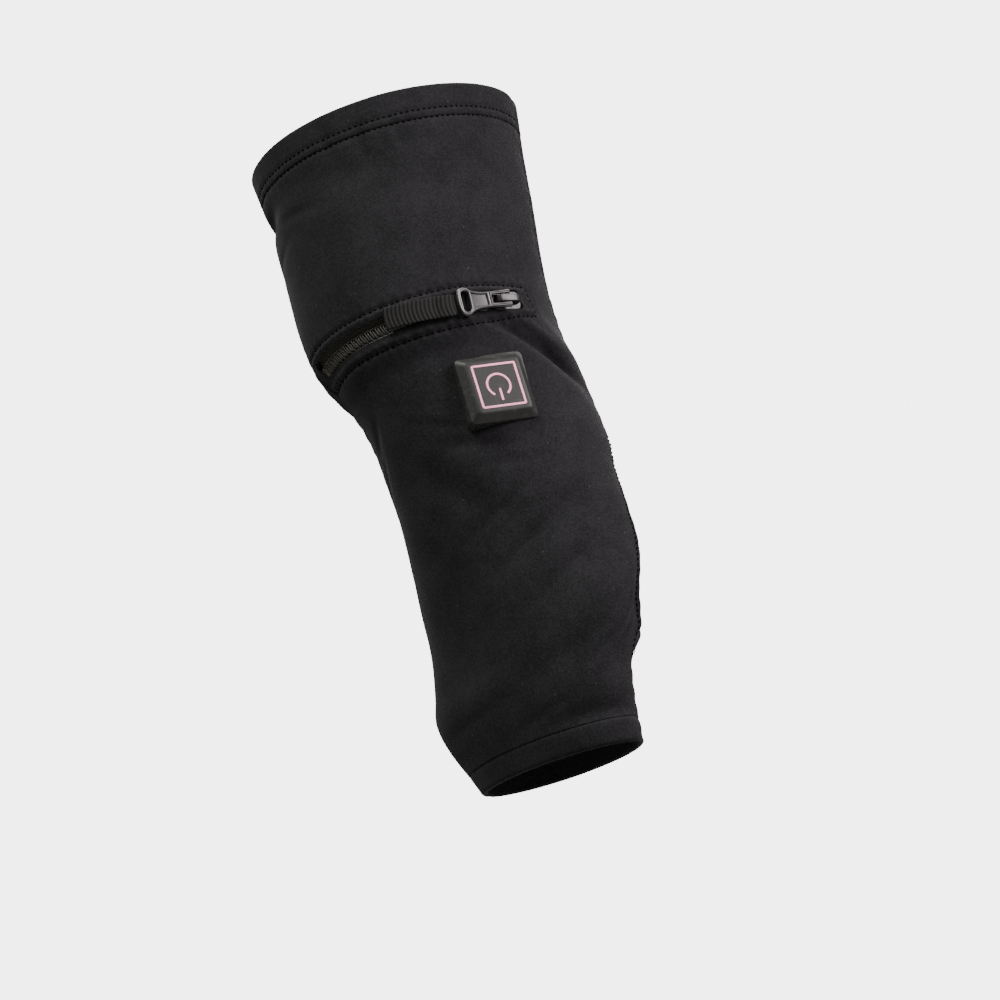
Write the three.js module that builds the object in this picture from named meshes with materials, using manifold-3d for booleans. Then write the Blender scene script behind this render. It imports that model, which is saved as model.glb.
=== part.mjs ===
// A fingerless heated glove: a stretch cloth sleeve over the forearm, wrist and hand, with a hole for the
// thumb, a zipped pocket slit across the forearm and a square push button at the wrist.
// Millimetres. +Z runs up the forearm, -Y faces out from the back of the hand, +X is the thumb side.
// The origin is the middle of the wrist, inside the sleeve.
import * as THREE from "three";
import { mergeVertices } from "three/addons/utils/BufferGeometryUtils.js";
import Module from "manifold-3d";

const wasm = await Module();
wasm.setup();

// Sleeve
const FOREARM_LENGTH = 130;
const HAND_LENGTH = 114;
const CUFF_HALF_WIDTH = 50;
const CUFF_HALF_DEPTH = 40;
const WRIST_HALF_WIDTH = 39;
const WRIST_HALF_DEPTH = 27.5;
const HAND_HALF_WIDTH = 41.6;
const HAND_HALF_DEPTH = 21.5;
const CLOTH = 1.6;
const CLEARANCE = 0.3;
const FINGER_HEM_SLANT = 2.5;
const CUFF_SLANT = 1.4;
const FOLD_DEPTH = 2.4;

// Hems
const CUFF_HEM = 13;
const FINGER_HEM = 8.5;
const THUMB_HEM = 3.6;
const HEM_PROUD = 0.35;

// Thumb hole, measured along the sleeve from the wrist and round it from the thumb seam
const THUMB_HOLE_TOP = -3;
const THUMB_HOLE_LENGTH = 77;
const THUMB_HOLE_BACK = 3;
const THUMB_HOLE_PALM = 25;

// Pocket zip, from a height on the forearm and an angle round it by the little finger side
const ZIP_HEIGHT = 45.4;
const ZIP_RISE = 2.4;
const ZIP_START = 174;
const ZIP_LENGTH = 83;
const SLIT_WIDTH = 8.8;
const COIL_WIDTH = 4;
const COIL_THICK = 1.7;
const COIL_PITCH = 2;
const COIL_START = 1.2;
const TOOTH_SIDE_STEP = 0.35;
const TOOTH_TOP_STEP = 0.45;
const TAPE_THICK = 0.8;
const TAPE_LAP = 5;
const TAPE_CLEARANCE = 0.6;

// Slider, puller and ribbon
const SLIDER_LENGTH = 9;
const SLIDER_WIDTH = 6.6;
const SLIDER_THICK = 1.3;
const SLIDER_END_MARGIN = 2.2;
const CROWN_WIDTH = 2.6;
const CROWN_HEIGHT = 2.6;
const PULLER_LENGTH = 18.6;
const PULLER_RING_WIDTH = 10.8;
const PULLER_NECK_WIDTH = 6.2;
const PULLER_THICK = 1.5;
const PULLER_WIRE = 1.5;
const RING_WINDOW = 3;
const PRONG_LENGTH = 7;
const PULLER_LIFT = 1.3;
const RIBBON_WIDTH = 8;
const RIBBON_THICK = 0.6;
const RIBBON_LENGTH = 26;
const RIBBON_RETURN = 6.5;

// Push button
const BUTTON_SIDE = 25;
const BUTTON_RISE = 3.2;
const BUTTON_BEVEL = 2.6;
const BUTTON_CORNER = 1.6;
const BUTTON_HEIGHT_ON_SLEEVE = 14.9;
const BUTTON_ROUND = 92;
const BUTTON_TILT = 7;
const BUTTON_LEAN = -6;
const MARK_LINE = 0.7;
const MARK_SIDE = 16.5;
const MARK_CORNER = 0.5;
const MARK_DEPTH = 0.5;
const MARK_RING_RADIUS = 4.2;
const MARK_RING_GAP = 70;
const MARK_BAR = 4.6;

// The half width and half depth that each row of SECTIONS takes its shares of.
const OVALS = {
  cuff: { width: CUFF_HALF_WIDTH, depth: CUFF_HALF_DEPTH },
  wrist: { width: WRIST_HALF_WIDTH, depth: WRIST_HALF_DEPTH },
  hand: { width: HAND_HALF_WIDTH, depth: HAND_HALF_DEPTH },
};

// Cross-sections from the finger hem up to the cuff rim. along is a share of the hand length below the wrist
// and of the forearm length above it, wide and deep are shares of the named oval, and aside is the shift of
// the middle towards the thumb as a share of the oval's half width. turn is the twist in degrees, with the
// back of the hand towards the thumb side when positive. thumb and little are the angles of the side seams.
const SECTIONS = [
  { along: -1.0, oval: "hand", wide: 0.785, deep: 0.7, aside: -0.165, turn: -32, thumb: -13, little: 182 },
  { along: -0.92, oval: "hand", wide: 0.83, deep: 0.75, aside: -0.19, turn: -32, thumb: -13, little: 182 },
  { along: -0.84, oval: "hand", wide: 0.875, deep: 0.8, aside: -0.21, turn: -31, thumb: -14, little: 182 },
  { along: -0.74, oval: "hand", wide: 0.93, deep: 0.88, aside: -0.2, turn: -29, thumb: -14, little: 182 },
  { along: -0.66, oval: "hand", wide: 1.0, deep: 0.93, aside: -0.1, turn: -27, thumb: -14, little: 182 },
  { along: -0.53, oval: "hand", wide: 1.0, deep: 1.0, aside: -0.02, turn: -22, thumb: -12, little: 184 },
  { along: -0.4, oval: "hand", wide: 0.98, deep: 1.07, aside: 0.01, turn: -15, thumb: -9, little: 186 },
  { along: -0.26, oval: "hand", wide: 0.95, deep: 1.14, aside: 0.02, turn: -6, thumb: -5, little: 190 },
  { along: -0.13, oval: "wrist", wide: 0.995, deep: 0.97, aside: 0.02, turn: 4, thumb: 0, little: 194 },
  { along: 0, oval: "wrist", wide: 1.03, deep: 1.0, aside: 0.02, turn: 13, thumb: 5, little: 198 },
  { along: 0.115, oval: "wrist", wide: 1.04, deep: 1.05, aside: -0.015, turn: 18, thumb: 10, little: 200 },
  { along: 0.22, oval: "wrist", wide: 1.065, deep: 1.13, aside: -0.085, turn: 19, thumb: 14, little: 200 },
  { along: 0.29, oval: "cuff", wide: 0.865, deep: 0.84, aside: -0.137, turn: 19, thumb: 16, little: 200 },
  { along: 0.37, oval: "cuff", wide: 0.89, deep: 0.89, aside: -0.18, turn: 17, thumb: 18, little: 200 },
  { along: 0.48, oval: "cuff", wide: 0.91, deep: 0.91, aside: -0.195, turn: 16, thumb: 20, little: 200 },
  { along: 0.64, oval: "cuff", wide: 0.93, deep: 0.94, aside: -0.175, turn: 12, thumb: 21, little: 200 },
  { along: 0.82, oval: "cuff", wide: 0.95, deep: 0.96, aside: -0.15, turn: 8, thumb: 21, little: 198 },
  { along: 1.0, oval: "cuff", wide: 1.0, deep: 1.0, aside: -0.14, turn: 3, thumb: 20, little: 197 },
];

// Folds and dents of the worn cloth. along is a share as above, round an angle, heading the angle of the
// fold's length from level, up towards the thumb side, long and wide are shares of the wrist's half width,
// and deep is a share of the fold depth, a hollow when positive and a swelling when negative.
const FOLDS = [
  { along: 0.83, round: 180, heading: 5, long: 0.3, wide: 0.11, deep: 0.9 },
  { along: 0.3, round: 176, heading: 12, long: 0.35, wide: 0.14, deep: 0.8 },
  { along: 0.25, round: 112, heading: 4, long: 0.5, wide: 0.1, deep: 0.4 },
  { along: 0.22, round: 52, heading: -42, long: 0.36, wide: 0.1, deep: 0.85 },
  { along: 0.27, round: 40, heading: -38, long: 0.4, wide: 0.13, deep: -0.4 },
  { along: 0.8, round: 112, heading: -20, long: 0.5, wide: 0.2, deep: 0.45 },
  { along: 0.72, round: 75, heading: 40, long: 0.45, wide: 0.2, deep: 0.4 },
  { along: -0.14, round: 118, heading: -35, long: 0.4, wide: 0.14, deep: 0.55 },
  { along: -0.3, round: 62, heading: 30, long: 0.5, wide: 0.16, deep: 0.5 },
  { along: -0.42, round: 40, heading: 36, long: 0.5, wide: 0.14, deep: 0.5 },
  { along: -0.5, round: 100, heading: -60, long: 0.6, wide: 0.25, deep: -0.5 },
  { along: -0.62, round: 2, heading: 80, long: 0.42, wide: 0.13, deep: 1.0 },
  { along: -0.72, round: 60, heading: 20, long: 0.6, wide: 0.16, deep: 0.45 },
  { along: -0.78, round: 165, heading: 80, long: 0.45, wide: 0.2, deep: -0.6 },
  { along: -0.9, round: 30, heading: 0, long: 0.35, wide: 0.08, deep: 0.6 },
  { along: 0.05, round: 262, heading: 5, long: 0.7, wide: 0.14, deep: 0.8 },
  { along: -0.08, round: 290, heading: -20, long: 0.5, wide: 0.15, deep: 0.6 },
  { along: 0.45, round: 270, heading: 85, long: 1.0, wide: 0.3, deep: -0.5 },
  { along: -0.45, round: 250, heading: 60, long: 0.7, wide: 0.25, deep: 0.5 },
];

const toRadians = THREE.MathUtils.degToRad;
const { clamp } = THREE.MathUtils;

const heightAt = (along) => along * (along < 0 ? HAND_LENGTH : FOREARM_LENGTH);

const sections = SECTIONS.map((row) => ({
  height: heightAt(row.along),
  halfWidth: row.wide * OVALS[row.oval].width,
  halfDepth: row.deep * OVALS[row.oval].depth,
  middle: row.aside * OVALS[row.oval].width,
  turn: row.turn,
  thumb: row.thumb,
  little: row.little,
}));

// The value of one column of the sections at a height, on a smooth curve through the rows.
function sectionValue(column, height) {
  const last = sections.length - 1;
  const at = clamp(height, sections[0].height, sections[last].height);
  let k = 0;
  while (k < last - 1 && at > sections[k + 1].height) {
    k += 1;
  }
  const [before, from, to, after] = [k - 1, k, k + 1, k + 2].map((i) => sections[clamp(i, 0, last)]);
  const span = to.height - from.height;
  const slopeFrom = ((to[column] - before[column]) / (to.height - before.height)) * span;
  const slopeTo = ((after[column] - from[column]) / (after.height - from.height)) * span;
  const t = (at - from.height) / span;
  const rise = t * t * (3 - 2 * t);
  const ends = t * (1 - t) * (slopeFrom * (1 - t) - slopeTo * t);
  return from[column] + (to[column] - from[column]) * rise + ends;
}

// Millimetres along the outline of the section for each radian of angle.
function outlineRate(height, round) {
  const angle = toRadians(round);
  return Math.hypot(
    sectionValue("halfWidth", height) * Math.sin(angle),
    sectionValue("halfDepth", height) * Math.cos(angle),
  );
}

// The angle reached from another one by going a length round the outline.
function goRound(height, round, length) {
  const steps = 12;
  let angle = round;
  for (let i = 0; i < steps; i += 1) {
    angle += THREE.MathUtils.radToDeg(length / steps / outlineRate(height, angle));
  }
  return angle;
}

// How far the folds push the cloth out at a place on the sleeve.
function relief(height, round) {
  return FOLDS.reduce((sum, fold) => {
    const foldHeight = heightAt(fold.along);
    const away = THREE.MathUtils.euclideanModulo(fold.round - round + 180, 360) - 180;
    const across = toRadians(away) * outlineRate(foldHeight, fold.round);
    const up = height - foldHeight;
    const heading = toRadians(fold.heading);
    const lengthwise = (across * Math.cos(heading) + up * Math.sin(heading)) / (fold.long * WRIST_HALF_WIDTH);
    const sideways = (up * Math.cos(heading) - across * Math.sin(heading)) / (fold.wide * WRIST_HALF_WIDTH);
    return sum - fold.deep * FOLD_DEPTH * Math.exp(-(lengthwise ** 2) - sideways ** 2);
  }, 0);
}

// A point at a height and an angle, a distance out from the outer face of the cloth. The angle is 0 at the
// thumb side, 90 on the back of the hand, 180 at the little finger and 270 on the palm.
function onSleeve(height, round, out = 0) {
  const angle = toRadians(round);
  const halfWidth = sectionValue("halfWidth", height);
  const halfDepth = sectionValue("halfDepth", height);
  const outward = new THREE.Vector2(Math.cos(angle) / halfWidth, -Math.sin(angle) / halfDepth).normalize();
  const flat = new THREE.Vector2(halfWidth * Math.cos(angle), -halfDepth * Math.sin(angle));
  flat.addScaledVector(outward, out + relief(height, round));
  flat.rotateAround(new THREE.Vector2(), toRadians(sectionValue("turn", height)));
  const [slantAtEnd, length] = height < 0 ? [-FINGER_HEM_SLANT, HAND_LENGTH] : [CUFF_SLANT, FOREARM_LENGTH];
  const slant = slantAtEnd * (height / length) ** 2;
  return new THREE.Vector3(flat.x + sectionValue("middle", height), flat.y, height + slant * Math.cos(angle));
}

// The frame of the cloth at a place: X round the sleeve towards the thumb, Y up it and Z outward.
function frameOnSleeve(height, round, out) {
  const step = 0.5;
  const across = onSleeve(height, round - step).sub(onSleeve(height, round + step)).normalize();
  const up = onSleeve(height + step, round).sub(onSleeve(height - step, round)).normalize();
  const outward = new THREE.Vector3().crossVectors(across, up).normalize();
  up.crossVectors(outward, across);
  const frame = new THREE.Matrix4().makeBasis(across, up, outward);
  return frame.setPosition(onSleeve(height, round, out));
}

function geometryOf(points, triangles) {
  const geometry = new THREE.BufferGeometry().setFromPoints(points);
  geometry.setIndex(triangles.flat());
  geometry.computeVertexNormals();
  return geometry;
}

// A closed solid through loops of points, one after the other. Its ends are closed by a fan over a flat loop,
// or by a strip between the two faces of a sheet, and a ring joins its last loop to its first.
function loft(loops, ends = "fan") {
  const size = loops[0].length;
  const isRing = ends === "ring";
  const triangles = [];
  for (let i = 0; i < loops.length - (isRing ? 0 : 1); i += 1) {
    const here = i * size;
    const next = ((i + 1) % loops.length) * size;
    for (let j = 0; j < size; j += 1) {
      const k = (j + 1) % size;
      triangles.push([here + j, next + j, next + k], [here + j, next + k, here + k]);
    }
  }
  const caps = [];
  if (ends === "fan") {
    for (let j = 1; j < size - 1; j += 1) {
      caps.push([0, j, j + 1]);
    }
  }
  if (ends === "strip") {
    for (let j = 0; j < size / 2 - 1; j += 1) {
      caps.push([j, j + 1, size - 2 - j], [j, size - 2 - j, size - 1 - j]);
    }
  }
  const top = (loops.length - 1) * size;
  for (const [a, b, c] of caps) {
    triangles.push([a, b, c], [top + a, top + c, top + b]);
  }
  return outwards(geometryOf(loops.flat(), triangles));
}

// Turns the faces of a closed mesh outward where they point in.
function outwards(geometry) {
  const { position } = geometry.attributes;
  const index = geometry.index.array;
  const [a, b, c] = [new THREE.Vector3(), new THREE.Vector3(), new THREE.Vector3()];
  let volume = 0;
  for (let i = 0; i < index.length; i += 3) {
    a.fromBufferAttribute(position, index[i]);
    b.fromBufferAttribute(position, index[i + 1]);
    c.fromBufferAttribute(position, index[i + 2]);
    volume += a.dot(b.cross(c));
  }
  if (volume < 0) {
    for (let i = 0; i < index.length; i += 3) {
      [index[i + 1], index[i + 2]] = [index[i + 2], index[i + 1]];
    }
  }
  geometry.computeVertexNormals();
  return geometry;
}

// A sheet between two faces: pointAt gives the point for a share of the way up and across, at a distance out.
function sheet(rows, columns, outer, inner, pointAt) {
  const loops = Array.from({ length: rows + 1 }, (_, i) => {
    const across = Array.from({ length: columns + 1 }, (__, j) => j / columns);
    const front = across.map((share) => pointAt(i / rows, share, outer));
    const back = across.map((share) => pointAt(i / rows, share, inner)).reverse();
    return [...front, ...back];
  });
  return loft(loops, "strip");
}

function solidOf(geometry) {
  const bare = geometry.clone();
  bare.deleteAttribute("normal");
  bare.deleteAttribute("uv");
  const merged = mergeVertices(bare, 1e-4);
  const vertProperties = merged.attributes.position.array;
  const triVerts = new Uint32Array(merged.index.array);
  return new wasm.Manifold(new wasm.Mesh({ numProp: 3, vertProperties, triVerts }));
}

function geometryOfSolid(solid) {
  const mesh = solid.getMesh();
  const geometry = new THREE.BufferGeometry();
  geometry.setAttribute("position", new THREE.BufferAttribute(mesh.vertProperties, 3));
  geometry.setIndex(new THREE.BufferAttribute(mesh.triVerts, 1));
  geometry.computeVertexNormals();
  return geometry;
}

const cut = (geometry, ...tools) =>
  geometryOfSolid(tools.reduce((solid, tool) => solid.subtract(solidOf(tool)), solidOf(geometry)));

const join = (first, ...others) =>
  geometryOfSolid(others.reduce((solid, other) => solid.add(solidOf(other)), solidOf(first)));

// Thumb hole: an almond whose two sides bow away from the thumb seam by different amounts.
const holeMiddle = THUMB_HOLE_TOP - THUMB_HOLE_LENGTH / 2;
const HOLE_POINT = 1.6;

// How far the almond, grown by a margin, reaches from the seam at a share of its half length.
const almond = (share, halfWidth, margin) =>
  (halfWidth + margin) * Math.cos((clamp(share, -1, 1) * Math.PI) / 2) ** 0.7;

function placeOnAlmond(turn, margin) {
  const share = Math.cos(turn);
  const height = holeMiddle + (THUMB_HOLE_LENGTH / 2 + HOLE_POINT * margin) * share;
  const side = Math.sin(turn) > 0 ? 1 : -1;
  const halfWidth = side > 0 ? THUMB_HOLE_BACK : THUMB_HOLE_PALM;
  const reach = side * almond(share, halfWidth, margin);
  return [height, goRound(height, sectionValue("thumb", height), reach)];
}

// The edge of a panel along the thumb seam: half the clearance off the seam, and round the hem of the hole.
function thumbEdge(height, side) {
  const margin = THUMB_HEM + CLEARANCE;
  const share = (height - holeMiddle) / (THUMB_HOLE_LENGTH / 2 + HOLE_POINT * margin);
  const reach = Math.max(CLEARANCE / 2, almond(share, side > 0 ? THUMB_HOLE_BACK : THUMB_HOLE_PALM, margin));
  return goRound(height, sectionValue("thumb", height), side * reach);
}

const littleEdge = (height, side) => goRound(height, sectionValue("little", height), (-side * CLEARANCE) / 2);

// Heights of the rows of a panel: even above and below the thumb hole, and closer towards the hole's ends.
function panelHeights() {
  const bottom = -HAND_LENGTH + FINGER_HEM + CLEARANCE;
  const top = FOREARM_LENGTH - CUFF_HEM - CLEARANCE;
  const half = THUMB_HOLE_LENGTH / 2 + HOLE_POINT * (THUMB_HEM + CLEARANCE);
  const even = (from, to, count) => Array.from({ length: count }, (_, i) => from + ((to - from) * i) / count);
  const hole = Array.from({ length: 17 }, (_, i) => holeMiddle - half * Math.cos((Math.PI * i) / 17));
  return [...even(bottom, holeMiddle - half, 4), ...hole, ...even(holeMiddle + half, top, 17), top];
}

function panel(side, columns) {
  const heights = panelHeights();
  return sheet(heights.length - 1, columns, 0, -CLOTH, (up, across, out) => {
    const height = heights[Math.round(up * (heights.length - 1))];
    const from = thumbEdge(height, side);
    const to = littleEdge(height, side) - (side < 0 ? 360 : 0);
    return onSleeve(height, from + (to - from) * across, out);
  });
}

// The folded edge of a hem from its rim, as shares of its depth and distances out from the outer face.
const hemOutline = (depth) => [
  [0, -CLOTH / 2],
  [0.35, HEM_PROUD - 0.35],
  [1.4, HEM_PROUD],
  [depth - 0.5, HEM_PROUD],
  [depth, HEM_PROUD - 0.45],
  [depth, -CLOTH],
  [1.4, -CLOTH - HEM_PROUD],
  [0.35, -CLOTH],
];

function hemRing(rim, inward, depth) {
  const steps = 48;
  const loops = Array.from({ length: steps }, (_, i) =>
    hemOutline(depth).map(([from, out]) => onSleeve(rim + inward * from, (360 * i) / steps, out)),
  );
  return loft(loops, "ring");
}

function thumbHem() {
  const steps = 52;
  const loops = Array.from({ length: steps }, (_, i) => {
    const turn = (2 * Math.PI * (i + 0.5)) / steps;
    return hemOutline(THUMB_HEM).map(([from, out]) => {
      const [height, round] = placeOnAlmond(turn, from);
      return onSleeve(height, round, out);
    });
  });
  return loft(loops, "ring");
}

// Places along the zip, as a length from its closed end by the little finger side.
const zipHeight = (length) => ZIP_HEIGHT + (ZIP_RISE * length) / ZIP_LENGTH;
const zipRound = (length) => goRound(ZIP_HEIGHT, ZIP_START, -length);
const onZip = (length, aside, out) => onSleeve(zipHeight(length) + aside, zipRound(length), out);
const frameOnZip = (length, out) => frameOnSleeve(zipHeight(length), zipRound(length), out);

// A strip along the zip between two lengths and two distances aside.
function zipStrip([from, to], [low, high], [outer, inner], rows = 24, columns = 1) {
  const pointAt = (along, aside, out) => onZip(from + (to - from) * along, low + (high - low) * aside, out);
  return sheet(rows, columns, outer, inner, pointAt);
}

const tapeTop = -CLOTH - TAPE_CLEARANCE;
const coilTop = tapeTop - TAPE_THICK + COIL_THICK;
const slitEnd = ZIP_LENGTH + 1;
const slit = zipStrip([-1, slitEnd], [-SLIT_WIDTH / 2, SLIT_WIDTH / 2], [3, -CLOTH - 3]);
const tapeEdge = COIL_WIDTH / 2 + CLEARANCE;
const tapeReach = SLIT_WIDTH / 2 + TAPE_LAP;
const tapeSpan = [-TAPE_LAP, ZIP_LENGTH + TAPE_LAP];
const tape = (low, high) => zipStrip(tapeSpan, [low, high], [tapeTop, tapeTop - TAPE_THICK], 24, 2);

function zipCoil() {
  const count = Math.floor((2 * (ZIP_LENGTH - COIL_START)) / COIL_PITCH);
  const loops = Array.from({ length: count + 1 }, (_, i) => {
    const length = COIL_START + (i * COIL_PITCH) / 2;
    const isTooth = i % 2 === 0;
    const half = COIL_WIDTH / 2 - (isTooth ? 0 : TOOTH_SIDE_STEP);
    const top = coilTop - (isTooth ? 0 : TOOTH_TOP_STEP);
    const onSide = [[-1, 0.25], [-1, 0.7], [-0.55, 1], [0.55, 1], [1, 0.7], [1, 0.25]];
    const base = tapeTop - TAPE_THICK;
    return onSide.map(([aside, share]) => onZip(length, half * aside, base + (top - base) * share));
  });
  return loft(loops);
}

function zipEndStop() {
  const half = COIL_WIDTH / 2;
  return zipStrip([-0.6, COIL_START - CLEARANCE], [-half, half], [coilTop + 0.2, tapeTop - TAPE_THICK], 2);
}

function roundedSquare(width, height, corner) {
  const [x, y] = [width / 2 - corner, height / 2 - corner];
  const shape = new THREE.Shape();
  shape.absarc(x, y, corner, 0, Math.PI / 2);
  shape.absarc(-x, y, corner, Math.PI / 2, Math.PI);
  shape.absarc(-x, -y, corner, Math.PI, Math.PI * 1.5);
  shape.absarc(x, -y, corner, Math.PI * 1.5, Math.PI * 2);
  return shape;
}

function slab(shape, from, to, curveSegments = 3) {
  const options = { depth: to - from, bevelEnabled: false, curveSegments };
  return new THREE.ExtrudeGeometry(shape, options).translate(0, 0, from);
}

// Zip slider, in its own frame: a plate over the coil with cheeks beside it and a crown that the prongs hold.
const sliderBase = coilTop + CLEARANCE;
const sliderAt = ZIP_LENGTH - SLIDER_END_MARGIN - SLIDER_LENGTH / 2;

function zipSlider() {
  const plate = slab(roundedSquare(SLIDER_LENGTH, SLIDER_WIDTH, 1.6), sliderBase, sliderBase + SLIDER_THICK);
  const crown = new THREE.Shape();
  const half = SLIDER_LENGTH / 2 - 1.1;
  const foot = sliderBase + SLIDER_THICK - 0.2;
  crown.moveTo(-half, foot);
  crown.lineTo(half, foot);
  crown.quadraticCurveTo(half, foot + CROWN_HEIGHT, half - 2, foot + CROWN_HEIGHT + 0.2);
  crown.lineTo(-half + 1.2, foot + CROWN_HEIGHT + 0.2);
  crown.quadraticCurveTo(-half, foot + CROWN_HEIGHT, -half, foot);
  const bar = slab(crown, -CROWN_WIDTH / 2, CROWN_WIDTH / 2).rotateX(Math.PI / 2);
  return join(plate, bar);
}

// Puller, in a frame at the tips of its prongs: it leans down over the slider's edge to the ribbon's ring.
const slideFrame = frameOnZip(sliderAt, 0);
const prongTip = SLIDER_LENGTH / 2 - 1.4;
const pullerBase = sliderBase + SLIDER_THICK + CLEARANCE;
const pullerFrame = slideFrame
  .clone()
  .multiply(new THREE.Matrix4().makeTranslation(prongTip, 0, pullerBase + PULLER_LIFT))
  .multiply(new THREE.Matrix4().makeRotationY(-Math.atan2(PULLER_LIFT, SLIDER_LENGTH / 2 + prongTip)));

function zipPuller() {
  const start = -PULLER_LENGTH;
  const neck = PULLER_NECK_WIDTH / 2;
  const ring = PULLER_RING_WIDTH / 2;
  const outline = new THREE.Shape();
  outline.moveTo(0, neck);
  outline.lineTo(-PRONG_LENGTH - 2, neck - 0.2);
  outline.quadraticCurveTo(start + 6, neck, start + 4.6, ring - 1);
  outline.quadraticCurveTo(start + 3, ring + 0.5, start + 1.2, ring - 0.6);
  outline.quadraticCurveTo(start, ring - 2, start, 0);
  outline.quadraticCurveTo(start, -ring + 2, start + 1.2, -ring + 0.6);
  outline.quadraticCurveTo(start + 3, -ring - 0.5, start + 4.6, -ring + 1);
  outline.quadraticCurveTo(start + 6, -neck, -PRONG_LENGTH - 2, -neck + 0.2);
  outline.lineTo(0, -neck);
  const gap = CROWN_WIDTH / 2 + CLEARANCE;
  outline.lineTo(0, -gap);
  outline.lineTo(-PRONG_LENGTH, -gap);
  outline.lineTo(-PRONG_LENGTH, gap);
  outline.lineTo(0, gap);
  const opening = roundedSquare(RING_WINDOW, 2 * (ring - PULLER_WIRE), 1.2).getPoints(3);
  const middle = new THREE.Vector2(start + PULLER_WIRE + RING_WINDOW / 2, 0);
  outline.holes.push(new THREE.Path(opening.map((point) => point.add(middle))));
  return slab(outline, 0, PULLER_THICK, 6);
}

// Ribbon, in the slider's frame: from its cut end along the coil, through the puller's ring and back over
// itself for a short stitched lap.
function ribbonPull() {
  const ringAt = sliderAt + prongTip - PULLER_LENGTH;
  const low = coilTop + CLEARANCE + RIBBON_THICK / 2;
  const lap = low + RIBBON_THICK + CLEARANCE;
  const half = RIBBON_WIDTH / 2;
  const squeezed = (PULLER_RING_WIDTH / 2 - PULLER_WIRE) * 0.86;
  const offRing = CLEARANCE + RIBBON_THICK / 2;
  const through = -PULLER_LENGTH + PULLER_WIRE + offRing + 0.2;
  const toSlide = slideFrame.clone().invert();
  const overCoil = (length, out) => onZip(length, 0, out).applyMatrix4(toSlide);
  const atRing = (x, z) => new THREE.Vector3(x, 0, z).applyMatrix4(pullerFrame).applyMatrix4(toSlide);
  const route = [
    ...[1, 0.8, 0.6, 0.4, 0.2].map((share) => [overCoil(ringAt - RIBBON_LENGTH * share, low), half]),
    [overCoil(ringAt - 2.4, low), half],
    [atRing(-PULLER_LENGTH - 0.3, -offRing - 0.3), squeezed],
    [atRing(-PULLER_LENGTH + PULLER_WIRE, -offRing - 0.1), squeezed],
    [atRing(through, 0.2), squeezed],
    [atRing(through, PULLER_THICK - 0.2), squeezed],
    [atRing(-PULLER_LENGTH + PULLER_WIRE, PULLER_THICK + offRing + 0.1), squeezed],
    [atRing(-PULLER_LENGTH - 0.6, PULLER_THICK + offRing), half * 0.95],
    [overCoil(ringAt - 3, lap + 0.7), half],
    [overCoil(ringAt - 4.6, lap), half],
    [overCoil(ringAt - RIBBON_RETURN, lap), half],
  ];
  const loops = route.map(([point, width], i) => {
    const before = route[Math.max(i - 1, 0)][0];
    const after = route[Math.min(i + 1, route.length - 1)][0];
    const outward = new THREE.Vector3(before.z - after.z, 0, after.x - before.x).setLength(RIBBON_THICK / 2);
    const across = new THREE.Vector3(0, width, 0);
    return [[-1, -1], [-1, 1], [1, 1], [1, -1]].map(([out, aside]) =>
      point.clone().addScaledVector(outward, out).addScaledVector(across, aside),
    );
  });
  return loft(loops);
}

// Push button, in its own frame: a square with sloping sides, cut underneath to the curve of the cloth.
const buttonFrame = frameOnSleeve(BUTTON_HEIGHT_ON_SLEEVE, BUTTON_ROUND, 0)
  .multiply(new THREE.Matrix4().makeRotationY(toRadians(BUTTON_TILT)))
  .multiply(new THREE.Matrix4().makeRotationX(toRadians(BUTTON_LEAN)));

// The button's sides above the cloth: height as a share of the rise, inset as a share of the bevel's width,
// and corner as a share of the base's corner radius.
const BUTTON_PROFILE = [
  { height: 0.16, inset: 0, corner: 1 },
  { height: 0.88, inset: 0.86, corner: 0.8 },
  { height: 1, inset: 1.04, corner: 0.6 },
];

function squareLoop(side, corner, height) {
  const reach = side / 2 - corner;
  const centre = new THREE.Vector2();
  return [0, 1, 2, 3].flatMap((quarter) =>
    [0, 1, 2, 3].map((i) => {
      const angle = ((quarter + i / 3) * Math.PI) / 2;
      const middle = new THREE.Vector2(reach, reach).rotateAround(centre, (quarter * Math.PI) / 2);
      const [x, y] = [middle.x + corner * Math.cos(angle), middle.y + corner * Math.sin(angle)];
      return new THREE.Vector3(x, y, height);
    }),
  );
}

const squareRing = (outer, inner) => {
  const flatLoop = (side, corner) => squareLoop(side, corner, 0).map(({ x, y }) => new THREE.Vector2(x, y));
  const shape = new THREE.Shape(flatLoop(outer, MARK_CORNER));
  shape.holes.push(new THREE.Path(flatLoop(inner, MARK_CORNER * 0.6)));
  return shape;
};

// The sign's open ring, with its gap towards the fingers, grown by a margin on every side.
function openRing(margin) {
  const half = MARK_LINE / 2 + margin;
  const turn = toRadians(MARK_RING_GAP / 2) - margin / MARK_RING_RADIUS;
  const [from, to] = [-Math.PI / 2 + turn, Math.PI * 1.5 - turn];
  const shape = new THREE.Shape();
  shape.absarc(0, 0, MARK_RING_RADIUS + half, from, to, false);
  shape.absarc(0, 0, MARK_RING_RADIUS - half, to, from, true);
  return shape;
}

const bar = (margin) => roundedSquare(MARK_LINE + 2 * margin, MARK_BAR + 2 * margin, MARK_CORNER * 0.4);
const barShift = -MARK_RING_RADIUS + MARK_LINE * 0.85;

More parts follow.
